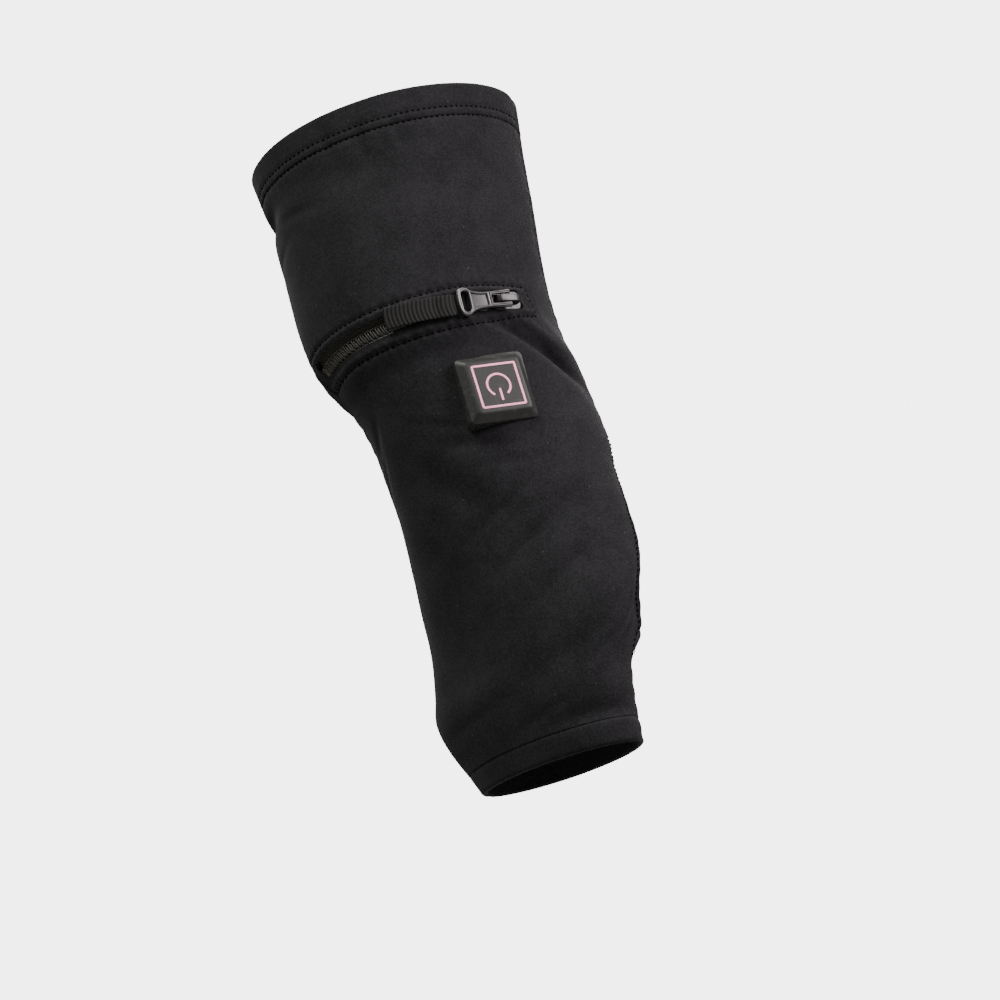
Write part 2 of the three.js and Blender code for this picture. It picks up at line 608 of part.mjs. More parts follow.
function buttonBase() {
  const skirt = BUTTON_SIDE * 0.35;
  const sides = BUTTON_PROFILE.map(({ height, inset, corner }) =>
    squareLoop(BUTTON_SIDE - 2 * BUTTON_BEVEL * inset, BUTTON_CORNER * corner, BUTTON_RISE * height),
  );
  const body = loft([squareLoop(BUTTON_SIDE, BUTTON_CORNER, -skirt), ...sides]);
  const reach = BUTTON_SIDE * 0.8;
  const under = sheet(12, 14, CLEARANCE, -skirt * 1.7, (up, across, out) => {
    const height = BUTTON_HEIGHT_ON_SLEEVE + reach * (2 * up - 1);
    return onSleeve(height, goRound(height, BUTTON_ROUND, reach * (2 * across - 1)), out);
  });
  under.applyMatrix4(buttonFrame.clone().invert());
  const floor = BUTTON_RISE - MARK_DEPTH - CLEARANCE;
  const wideFrame = squareRing(MARK_SIDE + 2 * CLEARANCE, MARK_SIDE - 2 * (MARK_LINE + CLEARANCE));
  const grooves = [
    slab(wideFrame, floor, 2 * BUTTON_RISE),
    slab(openRing(CLEARANCE), floor, 2 * BUTTON_RISE, 10),
    slab(bar(CLEARANCE), floor, 2 * BUTTON_RISE).translate(0, barShift, 0),
  ];
  return cut(body, under, ...grooves);
}

const mark = (shape, curveSegments = 3) => slab(shape, BUTTON_RISE - MARK_DEPTH, BUTTON_RISE, curveSegments);

function finish(color, roughness, metalness = 0) {
  return new THREE.MeshStandardMaterial({ color, roughness, metalness });
}

const clothFinish = finish(0x242224, 0.95);
const tapeFinish = finish(0x2b2b24, 0.9);
const coilFinish = finish(0x3a3b30, 0.6);
const ribbonFinish = finish(0x2a2a22, 0.85);
const sliderFinish = finish(0x1c1c1d, 0.35, 0.8);
const gunmetalFinish = finish(0x6a6a6a, 0.3, 0.95);
const rubberFinish = finish(0x3e403a, 0.55);
const markFinish = finish(0xeea9bd, 0.6);

const glove = new THREE.Group();

function place(name, geometry, material, frame = new THREE.Matrix4()) {
  const mesh = new THREE.Mesh(geometry, material);
  mesh.name = name;
  mesh.applyMatrix4(frame);
  glove.add(mesh);
}

place("back_panel", cut(panel(1, 18), slit), clothFinish);
place("palm_panel", panel(-1, 17), clothFinish);
place("cuff_hem", hemRing(FOREARM_LENGTH, -1, CUFF_HEM), clothFinish);
place("finger_hem", hemRing(-HAND_LENGTH, 1, FINGER_HEM), clothFinish);
place("thumb_hem", thumbHem(), clothFinish);
place("zip_tape_upper", tape(tapeEdge, tapeReach), tapeFinish);
place("zip_tape_lower", tape(-tapeReach, -tapeEdge), tapeFinish);
place("zip_coil", zipCoil(), coilFinish);
place("zip_end_stop", zipEndStop(), gunmetalFinish);
place("zip_slider", zipSlider(), sliderFinish, slideFrame);
place("zip_puller", zipPuller(), gunmetalFinish, pullerFrame);
place("ribbon_pull", ribbonPull(), ribbonFinish, slideFrame);
place("button_base", buttonBase(), rubberFinish, buttonFrame);
place("indicator_frame", mark(squareRing(MARK_SIDE, MARK_SIDE - 2 * MARK_LINE)), markFinish, buttonFrame);
place("indicator_ring", mark(openRing(0), 10), markFinish, buttonFrame);
place("indicator_bar", mark(bar(0)).translate(0, barShift, 0), markFinish, buttonFrame);

export default glove;
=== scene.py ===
"""Looks of a fingerless heated glove: a stretch cloth sleeve with stitched hems, a zipped pocket slit with a
ribbon pull, and a square rubber push button. Lengths are metres and angles are degrees unless a name says so.
+Z runs up the forearm, -Y faces out from the back of the hand and +X is the thumb side."""

import math

import bmesh
import bpy
import numpy as np
from bpy.props import FloatProperty, FloatVectorProperty, PointerProperty
from mathutils import Matrix, Vector, noise


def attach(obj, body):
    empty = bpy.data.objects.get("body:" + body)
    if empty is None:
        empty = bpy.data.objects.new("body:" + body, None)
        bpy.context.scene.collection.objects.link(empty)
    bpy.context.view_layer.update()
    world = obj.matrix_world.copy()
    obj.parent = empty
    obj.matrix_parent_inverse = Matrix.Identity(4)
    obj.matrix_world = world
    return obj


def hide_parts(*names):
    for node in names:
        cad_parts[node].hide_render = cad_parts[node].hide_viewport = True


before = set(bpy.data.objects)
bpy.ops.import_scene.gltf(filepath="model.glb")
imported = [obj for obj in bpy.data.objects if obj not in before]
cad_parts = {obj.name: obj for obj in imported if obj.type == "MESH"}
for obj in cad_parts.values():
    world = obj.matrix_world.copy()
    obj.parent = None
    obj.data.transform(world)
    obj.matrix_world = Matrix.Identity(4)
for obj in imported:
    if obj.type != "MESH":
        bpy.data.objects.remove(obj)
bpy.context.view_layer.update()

bl_info = {
    "name": "Fingerless heated glove",
    "version": (1, 0, 0),
    "blender": (4, 5, 0),
    "location": "View3D > Sidebar > Glove",
    "description": "Cloth, stitching, zip, ribbon and push button of a fingerless heated glove",
    "category": "Object",
}

MM = 0.001

# Sleeve
FOREARM_LENGTH = 130 * MM
HAND_LENGTH = 114 * MM
CLOTH = 1.6 * MM
FINGER_HEM_SLANT = 2.5 * MM
CUFF_SLANT = 1.4 * MM
FOLD_DEPTH = 2.4 * MM
WRIST_HALF_WIDTH = 39 * MM
FINGER_HEM = 8.5 * MM
THUMB_HEM = 3.6 * MM
TUCK = 1.4 * MM
TUCK_DEPTH = 0.9 * MM
THUMB_LAP = 0.4 * MM
PANEL_EDGE = 0.5 * MM
FOLD_GAP = 0.4 * MM
PANEL_ROWS = 236
BACK_COLUMNS = 150
PALM_COLUMNS = 132

# Thumb hole
HOLE_TOP = -3 * MM
HOLE_LENGTH = 77 * MM
HOLE_BACK = 3 * MM
HOLE_PALM = 25 * MM
HOLE_POINT = 1.6

# Pocket zip
ZIP_HEIGHT = 44.5 * MM
ZIP_RISE = 2.4 * MM
ZIP_START = 174
ZIP_LENGTH = 83 * MM
SLIT_WIDTH = 7 * MM
SLIT_MIDDLE = 0.6 * MM
COIL_WIDTH = 4 * MM
COIL_THICK = 1.7 * MM
COIL_START = -2.2 * MM
TAPE_THICK = 0.8 * MM
TAPE_START = -9.5 * MM
TAPE_LAP = 5 * MM
TAPE_TOP = -CLOTH - 0.6 * MM
COIL_TOP = TAPE_TOP - TAPE_THICK + COIL_THICK
END_LENGTH = 2.6 * MM
END_WIDTH = 3.6 * MM
END_THICK = 1.1 * MM
CORD_ASIDE = (1.9 * MM, 2.25 * MM)
CORD_THICK = 0.5 * MM
CLEARANCE = 0.3 * MM

# Slider, puller and ribbon
SLIDER_LENGTH = 11.4 * MM
SLIDER_WIDTH = 6.6 * MM
SLIDER_THICK = 1.3 * MM
SLIDER_END_MARGIN = 0
CROWN_WIDTH = 2.6 * MM
CROWN_HEIGHT = 2.6 * MM
PULLER_LENGTH = 19.6 * MM
PULLER_RING_WIDTH = 10.8 * MM
PULLER_NECK_WIDTH = 6.2 * MM
PULLER_THICK = 1.5 * MM
PULLER_WIRE = 1.5 * MM
RING_WINDOW = 3 * MM
PRONG_LENGTH = 7 * MM
PULLER_LIFT = 1.3 * MM
RIBBON_WIDTH = 8 * MM
RIBBON_THICK = 0.6 * MM
RIBBON_LENGTH = 24.4 * MM
RIBBON_LAP = 6 * MM
RIBBON_ASIDE = 2.3 * MM
RIBBON_OUT = 0.95 * MM

# Push button
BUTTON_SIDE = 25 * MM
BUTTON_RISE = 3.2 * MM
BUTTON_BEVEL = 2.6 * MM
BUTTON_CORNER = 1.6 * MM
BUTTON_HEIGHT = 14.9 * MM
BUTTON_ROUND = 92
BUTTON_TILT = 7
BUTTON_LEAN = -6
MARK_LINE = 0.7 * MM
MARK_SIDE = 16.5 * MM
MARK_RING_RADIUS = 4.2 * MM
MARK_RING_GAP = 70
MARK_BAR = 4.6 * MM

# Radii that turn an angle into a length on the cloth's UV map, and the length round the thumb hem
CUFF_UV_RADIUS = 45 * MM
FINGER_UV_RADIUS = 38 * MM
THUMB_UV_ROUND = 190 * MM

# Half width and half depth of the oval that each row of SECTIONS takes its shares of.
OVALS = {"cuff": (50 * MM, 40 * MM), "wrist": (39 * MM, 27.5 * MM), "hand": (41.6 * MM, 21.5 * MM)}

# Cross-sections from the finger hem up to the cuff rim. along is a share of the hand length below the wrist
# and of the forearm length above it, wide and deep are shares of the oval, aside is the shift of the middle
# towards the thumb as a share of the oval's half width, turn is the twist, and thumb and little are the
# angles of the side seams.
SECTION_COLUMNS = ("along", "oval", "wide", "deep", "aside", "turn", "thumb", "little")
SECTIONS = (
    (-1.0, "hand", 0.785, 0.7, -0.165, -32, -13, 182),
    (-0.92, "hand", 0.83, 0.75, -0.19, -32, -13, 182),
    (-0.84, "hand", 0.875, 0.8, -0.21, -31, -14, 182),
    (-0.74, "hand", 0.93, 0.88, -0.2, -29, -14, 182),
    (-0.66, "hand", 1.0, 0.93, -0.1, -27, -14, 182),
    (-0.53, "hand", 1.0, 1.0, -0.02, -22, -12, 184),
    (-0.4, "hand", 0.98, 1.07, 0.01, -15, -9, 186),
    (-0.26, "hand", 0.95, 1.14, 0.02, -6, -5, 190),
    (-0.13, "wrist", 0.995, 0.97, 0.02, 4, 0, 194),
    (0, "wrist", 1.03, 1.0, 0.02, 13, 5, 198),
    (0.115, "wrist", 1.04, 1.05, -0.015, 18, 10, 200),
    (0.22, "wrist", 1.065, 1.13, -0.085, 19, 14, 200),
    (0.29, "cuff", 0.865, 0.84, -0.137, 19, 16, 200),
    (0.37, "cuff", 0.89, 0.89, -0.18, 17, 18, 200),
    (0.48, "cuff", 0.91, 0.91, -0.195, 16, 20, 200),
    (0.64, "cuff", 0.93, 0.94, -0.175, 12, 18, 200),
    (0.82, "cuff", 0.95, 0.96, -0.15, 8, 14.5, 198),
    (1.0, "cuff", 1.0, 1.0, -0.14, 3, 11, 197),
)

# Folds and dents of the worn cloth. along is a share as above, around an angle, heading the angle of the
# fold's length from level, up towards the thumb side, long and wide are shares of the wrist's half width,
# and deep is a share of the fold depth, a hollow when positive and a swelling when negative.
FOLD_COLUMNS = ("along", "around", "heading", "long", "wide", "deep")
FOLDS = (
    (0.83, 180, 5, 0.3, 0.11, 0.9),
    (0.3, 176, 12, 0.35, 0.14, 0.8),
    (0.25, 112, 4, 0.5, 0.1, 0.4),
    (0.22, 52, -42, 0.36, 0.1, 0.85),
    (0.27, 40, -38, 0.4, 0.13, -0.4),
    (0.8, 112, -20, 0.5, 0.2, 0.45),
    (0.72, 75, 40, 0.45, 0.2, 0.4),
    (-0.14, 118, -35, 0.4, 0.14, 0.55),
    (-0.3, 62, 30, 0.5, 0.16, 0.5),
    (-0.42, 40, 36, 0.5, 0.14, 0.5),
    (-0.5, 100, -60, 0.6, 0.25, -0.5),
    (-0.62, 2, 80, 0.42, 0.13, 1.0),
    (-0.72, 60, 20, 0.6, 0.16, 0.45),
    (-0.78, 165, 80, 0.45, 0.2, -0.6),
    (-0.9, 30, 0, 0.35, 0.08, 0.6),
    (0.05, 262, 5, 0.7, 0.14, 0.8),
    (-0.08, 290, -20, 0.5, 0.15, 0.6),
    (0.45, 270, 85, 1.0, 0.3, -0.5),
    (-0.45, 250, 60, 0.7, 0.25, 0.5),
)

# Finer creases that only the cloth's surface shows, in the same columns.
CREASES = (
    (0.9, 118, 78, 0.12, 0.035, 0.25),
    (0.88, 104, 82, 0.15, 0.04, 0.2),
    (0.87, 88, 95, 0.16, 0.04, 0.18),
    (0.78, 150, -12, 0.3, 0.05, 0.25),
    (0.7, 172, 20, 0.25, 0.05, 0.2),
    (0.25, 62, -34, 0.34, 0.05, 0.75),
    (0.285, 56, -34, 0.3, 0.05, -0.35),
    (0.2, 45, -48, 0.25, 0.045, 0.55),
    (0.17, 38, -38, 0.22, 0.035, 0.25),
    (0.05, 120, -20, 0.25, 0.045, 0.2),
    (-0.03, 100, -12, 0.3, 0.05, 0.22),
    (-0.1, 84, -4, 0.3, 0.05, 0.2),
    (-0.24, 95, 28, 0.35, 0.05, 0.2),
    (-0.34, 78, 34, 0.35, 0.05, 0.24),
    (-0.46, 60, 38, 0.35, 0.05, 0.22),
    (-0.55, 20, 65, 0.25, 0.04, 0.3),
    (-0.66, 12, 70, 0.25, 0.04, 0.35),
    (-0.7, 26, 50, 0.25, 0.045, 0.25),
    (-0.86, 70, 12, 0.3, 0.04, 0.2),
    (-0.8, 120, 6, 0.3, 0.05, 0.2),
    (0.1, 172, 60, 0.2, 0.045, 0.25),
    (0.0, 176, 75, 0.25, 0.045, 0.22),
    (0.1, 280, 8, 0.4, 0.05, 0.4),
    (0.02, 250, -6, 0.4, 0.05, 0.4),
    (-0.06, 310, -15, 0.3, 0.05, 0.35),
    (-0.3, 300, 40, 0.35, 0.06, 0.3),
    (-0.6, 270, -20, 0.4, 0.06, 0.3),
    (0.6, 300, 40, 0.5, 0.07, 0.25),
    (0.75, 250, -30, 0.5, 0.07, 0.25),
)


def named_columns(columns, rows):
    """Each column of a table as an array under its name."""
    return {name: np.array([row[i] for row in rows]) for i, name in enumerate(columns)}


def height_of(along):
    return np.where(along < 0, along * HAND_LENGTH, along * FOREARM_LENGTH)


def section_columns():
    table = named_columns(SECTION_COLUMNS, SECTIONS)
    width, depth = (np.array([OVALS[name][i] for name in table["oval"]]) for i in (0, 1))
    return {
        "height": height_of(table["along"]),
        "half_width": table["wide"] * width,
        "half_depth": table["deep"] * depth,
        "middle": table["aside"] * width,
        "turn": table["turn"],
        "thumb": table["thumb"],
        "little": table["little"],
    }


SECTION = section_columns()


def section(column, height):
    """A column of the sections at some heights, on a smooth curve through the rows."""
    heights, values = SECTION["height"], SECTION[column]
    last = len(heights) - 1
    at = np.clip(height, heights[0], heights[-1])
    here = np.clip(np.searchsorted(heights, at) - 1, 0, last - 1)
    before, after = np.maximum(here - 1, 0), np.minimum(here + 2, last)
    span = heights[here + 1] - heights[here]
    slope_from = (values[here + 1] - values[before]) / (heights[here + 1] - heights[before]) * span
    slope_to = (values[after] - values[here]) / (heights[after] - heights[here]) * span
    t = (at - heights[here]) / span
    ends = t * (1 - t) * (slope_from * (1 - t) - slope_to * t)
    return values[here] + (values[here + 1] - values[here]) * t * t * (3 - 2 * t) + ends


def outline_rate(height, around):
    """Length along the outline for each radian of angle."""
    angle = np.radians(around)
    across = section("half_width", height) * np.sin(angle)
    return np.hypot(across, section("half_depth", height) * np.cos(angle))


def go_round(height, around, length, steps=12):
    """The angle reached from another one by going a length round the outline."""
    for _ in range(steps):
        around = around + np.degrees(length / steps / outline_rate(height, around))
    return around


def fold_relief(rows, height, around):
    """How far the rows of a table of folds push the cloth out."""
    total = 0
    for row in rows:
        fold = dict(zip(FOLD_COLUMNS, row))
        fold_height = float(height_of(np.float64(fold["along"])))
        away = np.mod(fold["around"] - around + 180, 360) - 180
        across = np.radians(away) * outline_rate(fold_height, fold["around"])
        up = height - fold_height
        heading = math.radians(fold["heading"])
        cos, sin = math.cos(heading), math.sin(heading)
        lengthwise = (across * cos + up * sin) / (fold["long"] * WRIST_HALF_WIDTH)
        sideways = (up * cos - across * sin) / (fold["wide"] * WRIST_HALF_WIDTH)
        total = total - fold["deep"] * FOLD_DEPTH * np.exp(-(lengthwise**2) - sideways**2)
    return total


def on_sleeve(height, around, out=0.0, creased=False):
    """Points at heights and angles, a distance out from the cloth's outer face. The angle is 0 at the thumb
    side, 90 on the back of the hand, 180 at the little finger and 270 on the palm."""
    height, around = np.asarray(height, float), np.asarray(around, float)
    angle = np.radians(around)
    half_width, half_depth = section("half_width", height), section("half_depth", height)
    normal = np.stack([np.cos(angle) / half_width, -np.sin(angle) / half_depth])
    normal = normal / np.hypot(normal[0], normal[1])
    far = out + fold_relief(FOLDS, height, around)
    if creased:
        far = far + fold_relief(CREASES, height, around)
    x = half_width * np.cos(angle) + normal[0] * far
    y = -half_depth * np.sin(angle) + normal[1] * far
    turn = np.radians(section("turn", height))
    slant = np.where(
        height < 0,
        -FINGER_HEM_SLANT * (height / HAND_LENGTH) ** 2,
        CUFF_SLANT * (height / FOREARM_LENGTH) ** 2,
    )
    turned_x = x * np.cos(turn) - y * np.sin(turn) + section("middle", height)
    turned_y = x * np.sin(turn) + y * np.cos(turn)
    return np.stack([turned_x, turned_y, height + slant * np.cos(angle)], -1)


def frame_on_sleeve(height, around):
    """The frame of the cloth at a place: X round the sleeve towards the thumb, Y up it and Z outward."""
    step = 0.5
    across = Vector(on_sleeve(height, around - step) - on_sleeve(height, around + step)).normalized()
    up = Vector(on_sleeve(height + step * MM, around) - on_sleeve(height - step * MM, around)).normalized()
    outward = across.cross(up).normalized()
    up = outward.cross(across)
    turned = Matrix((across, up, outward)).transposed().to_4x4()
    return Matrix.Translation(Vector(on_sleeve(height, around))) @ turned


HOLE_MIDDLE = HOLE_TOP - HOLE_LENGTH / 2


def almond(share, half_width, margin):
    """How far the thumb hole, grown by a margin, reaches from the seam at a share of its half length."""
    return (half_width + margin) * np.abs(np.cos(np.clip(share, -1, 1) * np.pi / 2)) ** 0.7


def on_almond(turn, margin):
    """Heights and angles round the edge of the thumb hole, for turns in radians."""
    share = np.cos(turn)
    height = HOLE_MIDDLE + (HOLE_LENGTH / 2 + HOLE_POINT * margin) * share
    side = np.where(np.sin(turn) > 0, 1, -1)
    reach = side * almond(share, np.where(side > 0, HOLE_BACK, HOLE_PALM), margin)
    return height, go_round(height, section("thumb", height), reach)


def thumb_edge(height, side, margin):
    """The angle of a panel's edge along the thumb seam and round the hem of the thumb hole."""
    share = (height - HOLE_MIDDLE) / (HOLE_LENGTH / 2 + HOLE_POINT * margin)
    reach = almond(share, HOLE_BACK if side > 0 else HOLE_PALM, margin)
    return go_round(height, section("thumb", height), side * reach)


def zip_height(length):
    return ZIP_HEIGHT + ZIP_RISE * length / ZIP_LENGTH


def zip_round(length):
    return go_round(ZIP_HEIGHT, ZIP_START, -np.asarray(length, float))


def on_zip(length, aside, out=0.0):
    """Points at lengths along the zip from its closed end, and distances aside and out."""
    return on_sleeve(zip_height(length) + aside, zip_round(length), out)


ZIP_SCALE = np.linspace(-45 * MM, ZIP_LENGTH + 70 * MM, 500)
ZIP_ANGLES = zip_round(ZIP_SCALE)


def zip_place(height, around):
    """The length along the zip and the distance aside of places on the sleeve."""
    length = np.interp(-around, -ZIP_ANGLES, ZIP_SCALE)
    return length, height - zip_height(length)


def smooth_step(value, low, high):
    t = np.clip((value - low) / (high - low), 0, 1)
    return t * t * (3 - 2 * t)


def groove(distance, depth, width):
    """A shallow valley along a line, for the distance from the line."""
    return -depth * np.exp(-((distance / width) ** 2))


# Stitch lines: distances from the hem rims and round the slit
CUFF_ROWS = (9 * MM, 12.3 * MM)
THUMB_ROW = 2.8 * MM
SLIT_ROW = 7.1 * MM
SLIT_START = -4.5 * MM
SLIT_END = ZIP_LENGTH + 1 * MM
SLIT_CENTRE = (SLIT_START + SLIT_END) / 2
SLIT_HALF_LENGTH = (SLIT_END - SLIT_START) / 2
SLIT_ROW_END = 5.2 * MM
SLIT_CORNER = 1.4 * MM
SLIT_ROW_TAPER = 0.2


def slit_distance(length, aside, half_width, end_margin, corner):
    """Distance from the rounded outline round the slit, negative inside it."""
    x = np.abs(length - SLIT_CENTRE) - (SLIT_HALF_LENGTH + end_margin) + corner
    y = np.abs(aside) - half_width + corner
    outside = np.hypot(np.maximum(x, 0), np.maximum(y, 0))
    return outside + np.minimum(np.maximum(x, y), 0) - corner


def slit_row(length):
    """How far aside the stitches round the slit run: they come closer together by the slider."""
    return SLIT_ROW * (1 - SLIT_ROW_TAPER * smooth_step(length, 58 * MM, 88 * MM))


def pucker(phase, distance, reach, depth):
    """Small gathers that fade away from a row of stitches."""
    return depth * np.sin(phase) * np.exp(-((distance / reach) ** 2))


def sewn_relief(height, around, sizes):
    """The valleys and gathers that the stitching draws into the cloth."""
    pitch = sizes.stitch_length + sizes.stitch_gap
    from_rim = FOREARM_LENGTH - height
    run = np.radians(around) * section("half_width", height)
    total = 0
    for row in CUFF_ROWS:
        total = total + groove(from_rim - row, 0.32 * MM, 0.75 * MM)
    middle_row = sum(CUFF_ROWS) / 2
    gathers = run * 2 * np.pi / (2.6 * pitch) + np.sin(run * 70)
    total = total + pucker(gathers, from_rim - middle_row, 4.2 * MM, 0.13 * MM)
    length, aside = zip_place(height, around)
    off_row = slit_distance(length, aside, slit_row(length), SLIT_ROW_END, 2 * MM)
    total = total + groove(off_row, 0.42 * MM, 0.8 * MM)
    gathers = length * 2 * np.pi / (1.9 * pitch) + np.sin(length * 240)
    total = total + pucker(gathers, off_row, 2.4 * MM, 0.16 * MM)
    total = total + 0.35 * MM * np.exp(-((off_row + 1.6 * MM) / (1.1 * MM)) ** 2)
    for side, seam in ((1, section("thumb", height)), (-1, section("little", height))):
        away = np.radians(np.mod(around - seam + 180, 360) - 180) * outline_rate(height, around)
        total = total + groove(away, 0.5 * MM, 0.7 * MM)
        gathers = height * 2 * np.pi / (3.1 * pitch) + np.sin(height * 130 + side)
        total = total + pucker(gathers, away, 3.2 * MM, 0.2 * MM)
    return total


def rolled_margin(height, around):
    """The cloth's margin by the web of the thumb, where it rolls inward."""
    share = (height - HOLE_MIDDLE) / (HOLE_LENGTH / 2)
    near = np.exp(-(((share + 0.62) / 0.42) ** 2))
    edge = thumb_edge(height, 1, THUMB_HEM)
    away = np.radians(around - edge) * outline_rate(height, around)
    return -1.6 * MM * near * np.exp(-((away / (3.2 * MM)) ** 2))


def drape_noise(points, scale, strength):
    """Soft uneven swells of the cloth, from solid noise at each point."""
    return np.array([noise.noise(Vector(p) * scale) for p in points]) * strength


def cloth_points(height, around, sizes, out=0.0):
    """Places on the worn cloth's outer face with its creases, seams and soft swells."""
    flat = on_sleeve(height, around)
    soft = drape_noise(flat, 42, 0.32 * MM) + drape_noise(flat + 3.1, 115, 0.11 * MM)
    far = soft + sewn_relief(height, around, sizes) + rolled_margin(height, around)
    return on_sleeve(height, around, out + far, creased=True)


def spaced_shares(count, fine=5, step=0.35):
    """Shares from 0 to 1 in steps that are smaller near both ends."""
    steps = np.ones(count)
    steps[:fine] = step
    steps[-fine:] = step
    return np.concatenate([[0], np.cumsum(steps)]) / steps.sum()


def new_grid(columns, rows):
    """A grid of faces whose corners run from 0 to 1 both ways, with its columns and rows as shares."""
    bm = bmesh.new()
    bmesh.ops.create_grid(bm, x_segments=columns, y_segments=rows, size=0.5)
    bmesh.ops.translate(bm, verts=bm.verts, vec=(0.5, 0.5, 0))
    bm.verts.ensure_lookup_table()
    at = np.array([v.co[:2] for v in bm.verts])
    return bm, at[:, 0], at[:, 1]


def set_uvs(bm, across, up):
    """Writes a UV map in metres from an across and an up value of each vertex."""
    layer = bm.loops.layers.uv.new("cloth")
    for face in bm.faces:
        for loop in face.loops:
            loop[layer].uv = (across[loop.vert.index], up[loop.vert.index])


def run_along(points):
    """The length along a line of points from the first to each of them."""
    return np.concatenate([[0], np.cumsum(np.linalg.norm(np.diff(points, axis=0), axis=1))])


def set_places(bm, points):
    for vert, point in zip(bm.verts, points):
        vert.co = point


def turn_out(bm, centre_of):
    """Turns an open sheet's faces away from the point that centre_of gives for a place."""
    bm.normal_update()
    face = next(iter(bm.faces))
    middle = face.calc_center_median()
    if face.normal.dot(middle - centre_of(middle)) < 0:
        bmesh.ops.reverse_faces(bm, faces=bm.faces)


def sleeve_middle(point):
    return Vector((float(section("middle", point.z)), 0, point.z))


def add_object(bm, name, material, smooth_angle=None):
    """Makes an object of the mesh, at the origin, with its material and smooth shading."""
    mesh = bpy.data.meshes.new(name)
    bm.to_mesh(mesh)
    bm.free()
    for polygon in mesh.polygons:
        polygon.use_smooth = True
    if smooth_angle is not None:
        mesh.set_sharp_from_angle(angle=math.radians(smooth_angle))
    piece = bpy.data.objects.new(name, mesh)
    bpy.context.scene.collection.objects.link(piece)
    piece.data.materials.append(material)
    return piece


def add_solid(bm, name, material, smooth_angle=None):
    """Makes an object of closed shapes, with all their faces turned outward."""
    bmesh.ops.recalc_face_normals(bm, faces=bm.faces)
    return add_object(bm, name, material, smooth_angle)


def settle(piece, slot, *nodes):
    """Fixes a piece to the glove and hides the CAD nodes that it stands for. The slot is not used."""
    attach(piece, "root")
    if nodes:
        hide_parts(*nodes)
    return piece


def thicken(piece, thickness, edge=0.0):
    """Gives a sheet its thickness inward, and rounds its rim."""
    wall = piece.modifiers.new("thickness", "SOLIDIFY")
    wall.thickness = thickness
    wall.offset = -1
    wall.use_even_offset = False
    if edge:
        rim = piece.modifiers.new("rim", "BEVEL")
        rim.width = edge
        rim.segments = 3
        rim.limit_method = "ANGLE"
        rim.angle_limit = math.radians(50)
        rim.use_clamp_overlap = True
    return piece


# Shader groups


def new_group(name, inputs, outputs):
    group = bpy.data.node_groups.new(name, "ShaderNodeTree")
    for label, kind, value in inputs:
        socket = group.interface.new_socket(label, in_out="INPUT", socket_type=kind)
        if value is not None:
            socket.default_value = value
    for label, kind in outputs:
        group.interface.new_socket(label, in_out="OUTPUT", socket_type=kind)
    return group, group.nodes.new("NodeGroupInput"), group.nodes.new("NodeGroupOutput")


class Wiring:
    """Short ways to add and join the nodes of one tree."""

    def __init__(self, tree):
        self.tree = tree

    def node(self, kind, **settings):
        made = self.tree.nodes.new(kind)
        for name, value in settings.items():
            setattr(made, name, value)
        return made

    def feed(self, socket, value):
        if isinstance(value, bpy.types.NodeSocket):
            self.tree.links.new(value, socket)
        else:
            socket.default_value = value

    def math(self, operation, first, second=0.0, clamp=False):
        made = self.node("ShaderNodeMath", operation=operation, use_clamp=clamp)
        self.feed(made.inputs[0], first)
        self.feed(made.inputs[1], second)
        return made.outputs[0]

    def blend(self, first, second, share):
        """A share of the first value and the rest of the second."""
        rest = self.math("MULTIPLY", second, 1 - share)
        return self.math("ADD", self.math("MULTIPLY", first, share), rest)

    def mix(self, factor, first, second):
        made = self.node("ShaderNodeMix", data_type="RGBA")
        self.feed(made.inputs["Factor"], factor)
        self.feed(made.inputs[6], first)
        self.feed(made.inputs[7], second)
        return made.outputs[2]

    def noise(self, vector, scale, detail=2.0, roughness=0.5):
        made = self.node("ShaderNodeTexNoise")
        self.feed(made.inputs["Vector"], vector)
        self.feed(made.inputs["Scale"], scale)
        made.inputs["Detail"].default_value = detail
        made.inputs["Roughness"].default_value = roughness
        return made.outputs["Fac"]

    def wave(self, vector, scale, direction, distortion=0.0, detail_scale=1.0):
        made = self.node("ShaderNodeTexWave", wave_type="BANDS", wave_profile="SIN")
        made.bands_direction = direction
        self.feed(made.inputs["Vector"], vector)
        self.feed(made.inputs["Scale"], scale)
        made.inputs["Distortion"].default_value = distortion
        made.inputs["Detail Scale"].default_value = detail_scale
        return made.outputs["Fac"]

    def ramp(self, value, low, high):
        """0 below low and 1 above high, smoothly."""
        made = self.node("ShaderNodeMapRange", interpolation_type="SMOOTHSTEP")
        self.feed(made.inputs["Value"], value)
        made.inputs["From Min"].default_value = low
        made.inputs["From Max"].default_value = high
        return made.outputs["Result"]

    def span(self, value, low, high):
        """Stretches 0 to 1 onto low to high."""
        made = self.node("ShaderNodeMapRange")
        self.feed(made.inputs["Value"], value)
        made.inputs["To Min"].default_value = low
        made.inputs["To Max"].default_value = high
        return made.outputs["Result"]


# What a wave texture's scale is for one wave, and the rows of loops of the knit in a metre
WAVE_TURN = 2 * math.pi / 20
KNIT_LOOPS = 1600.0


def knit_group():
    """Fine knitted wales and courses, for a UV map in metres."""
    group, source, result = new_group(
        "knit",
        [("Vector", "NodeSocketVector", None), ("Loops per metre", "NodeSocketFloat", KNIT_LOOPS)],
        [("Height", "NodeSocketFloat")],
    )
    w = Wiring(group)
    scale = w.math("MULTIPLY", source.outputs["Loops per metre"], WAVE_TURN)
    wales = w.wave(source.outputs["Vector"], scale, "X", 1.2, 2.0)
    courses = w.wave(source.outputs["Vector"], scale, "Y", 0.8, 2.0)
    w.feed(result.inputs["Height"], w.blend(wales, courses, 0.65))
    return group


